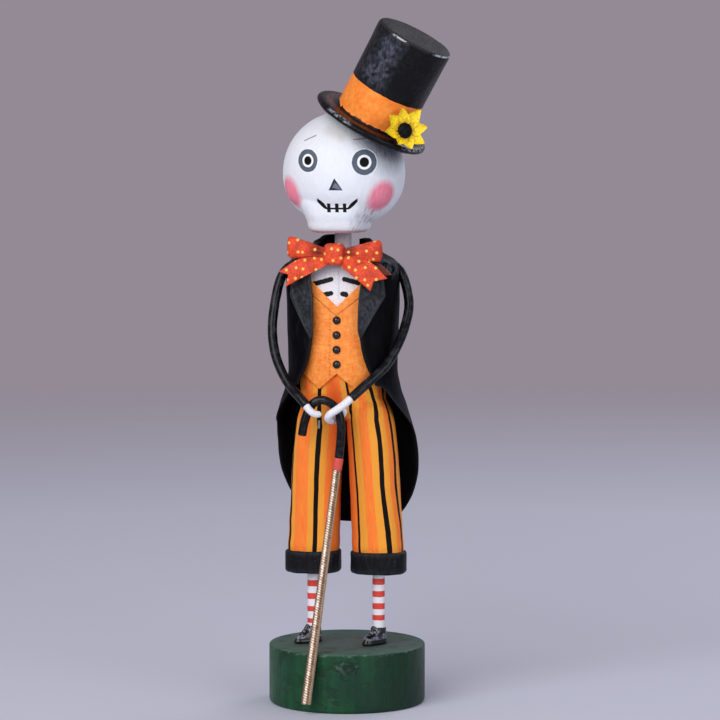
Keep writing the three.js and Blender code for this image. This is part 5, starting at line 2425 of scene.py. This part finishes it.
@dataclass
class Studio:
    """Pale floor, soft lights and the camera where the figure is seen from."""

    rise: float = math.radians(4.5657)
    half_view: float = math.radians(6.5)
    distance: float = 1032.84
    aim_height: float = 113.0
    shift_across: float = 4.2418
    shift_up: float = -0.5975
    # Name, place and panel width in metres, power in watts and colour of each light.
    lights: Sequence[tuple[str, Colour, float, float, Colour]] = (
        ("key", (-0.44, -1.2, 0.85), 1.2, 18.5, (1.0, 0.99, 0.98)),
        ("fill", (0.95, -0.8, 0.45), 0.8, 5.2, (0.9, 0.95, 1.0)),
        ("back", (0.5, 0.9, 0.8), 0.5, 3.0, (0.92, 0.95, 1.0)),
    )
    room_tone: Colour = (0.97, 0.85, 1.0)
    room_strength: float = 0.3

    def _camera(self) -> None:
        """Set the camera."""
        ahead = AHEAD * math.cos(self.rise) - Vector((0, 0, math.sin(self.rise)))
        up = AHEAD * math.sin(self.rise) + Vector((0, 0, math.cos(self.rise)))
        aim = Vector((0, 0, self.aim_height)) + ACROSS * self.shift_across + up * self.shift_up
        data = bpy.data.cameras.new("camera")
        data.sensor_width = 36.0
        data.lens = 18.0 / math.tan(self.half_view)
        data.clip_end = 20.0
        camera = bpy.data.objects.new("camera", data)
        turn = Matrix((ACROSS, up, -ahead)).transposed().to_4x4()
        camera.matrix_world = Matrix.Translation((aim - ahead * self.distance) * MM) @ turn
        bpy.context.collection.objects.link(camera)
        bpy.context.scene.camera = camera

    @staticmethod
    def _light(name: str, spot: Row, size: float, power: float, tone: Colour) -> None:
        """Add a soft light that faces the figure.

        Args:
            name: Its name.
            spot: Where it stands, in metres.
            size: Width of its panel.
            power: Its power in watts.
            tone: Its colour.
        """
        data = bpy.data.lights.new(name, "AREA")
        data.shape = "SQUARE"
        data.size = size
        data.energy = power
        data.color = tone
        light = bpy.data.objects.new(name, data)
        light.location = spot
        way = Vector((0, 0, 0.11)) - Vector(spot)
        light.rotation_euler = way.to_track_quat("-Z", "Y").to_euler()
        bpy.context.collection.objects.link(light)

    def build(self) -> None:
        """Build the studio."""
        lay_down()
        bpy.ops.mesh.primitive_plane_add(size=8.0)
        floor = bpy.context.object
        floor.name = "floor"
        p = Palette("floor")
        away = (p.x * p.x + p.y * p.y).root()
        rough = 0.65 + p.noise(40.0) * 0.05
        plain = p.finish("c8cddb", rough, alpha=away.below(850.0, 700.0))
        floor.data.materials.append(plain)
        self._camera()
        for light in self.lights:
            self._light(*light)
        world = bpy.data.worlds.new("room")
        world.use_nodes = True
        background = world.node_tree.nodes["Background"]
        background.inputs["Color"].default_value = (*self.room_tone, 1.0)
        background.inputs["Strength"].default_value = self.room_strength
        bpy.context.scene.world = world
        bpy.context.scene.view_settings.view_transform = "Standard"


def main() -> None:
    """Build every piece from the ground up, then the studio."""
    logging.basicConfig(level=logging.INFO, format="%(name)s: %(message)s")
    for part in (Plinth, Legs, Trousers, Chest, Tailcoat, BowTie, Head, Hat, Arms, Studio):
        part().build()


if __name__ == "__main__":
    main()
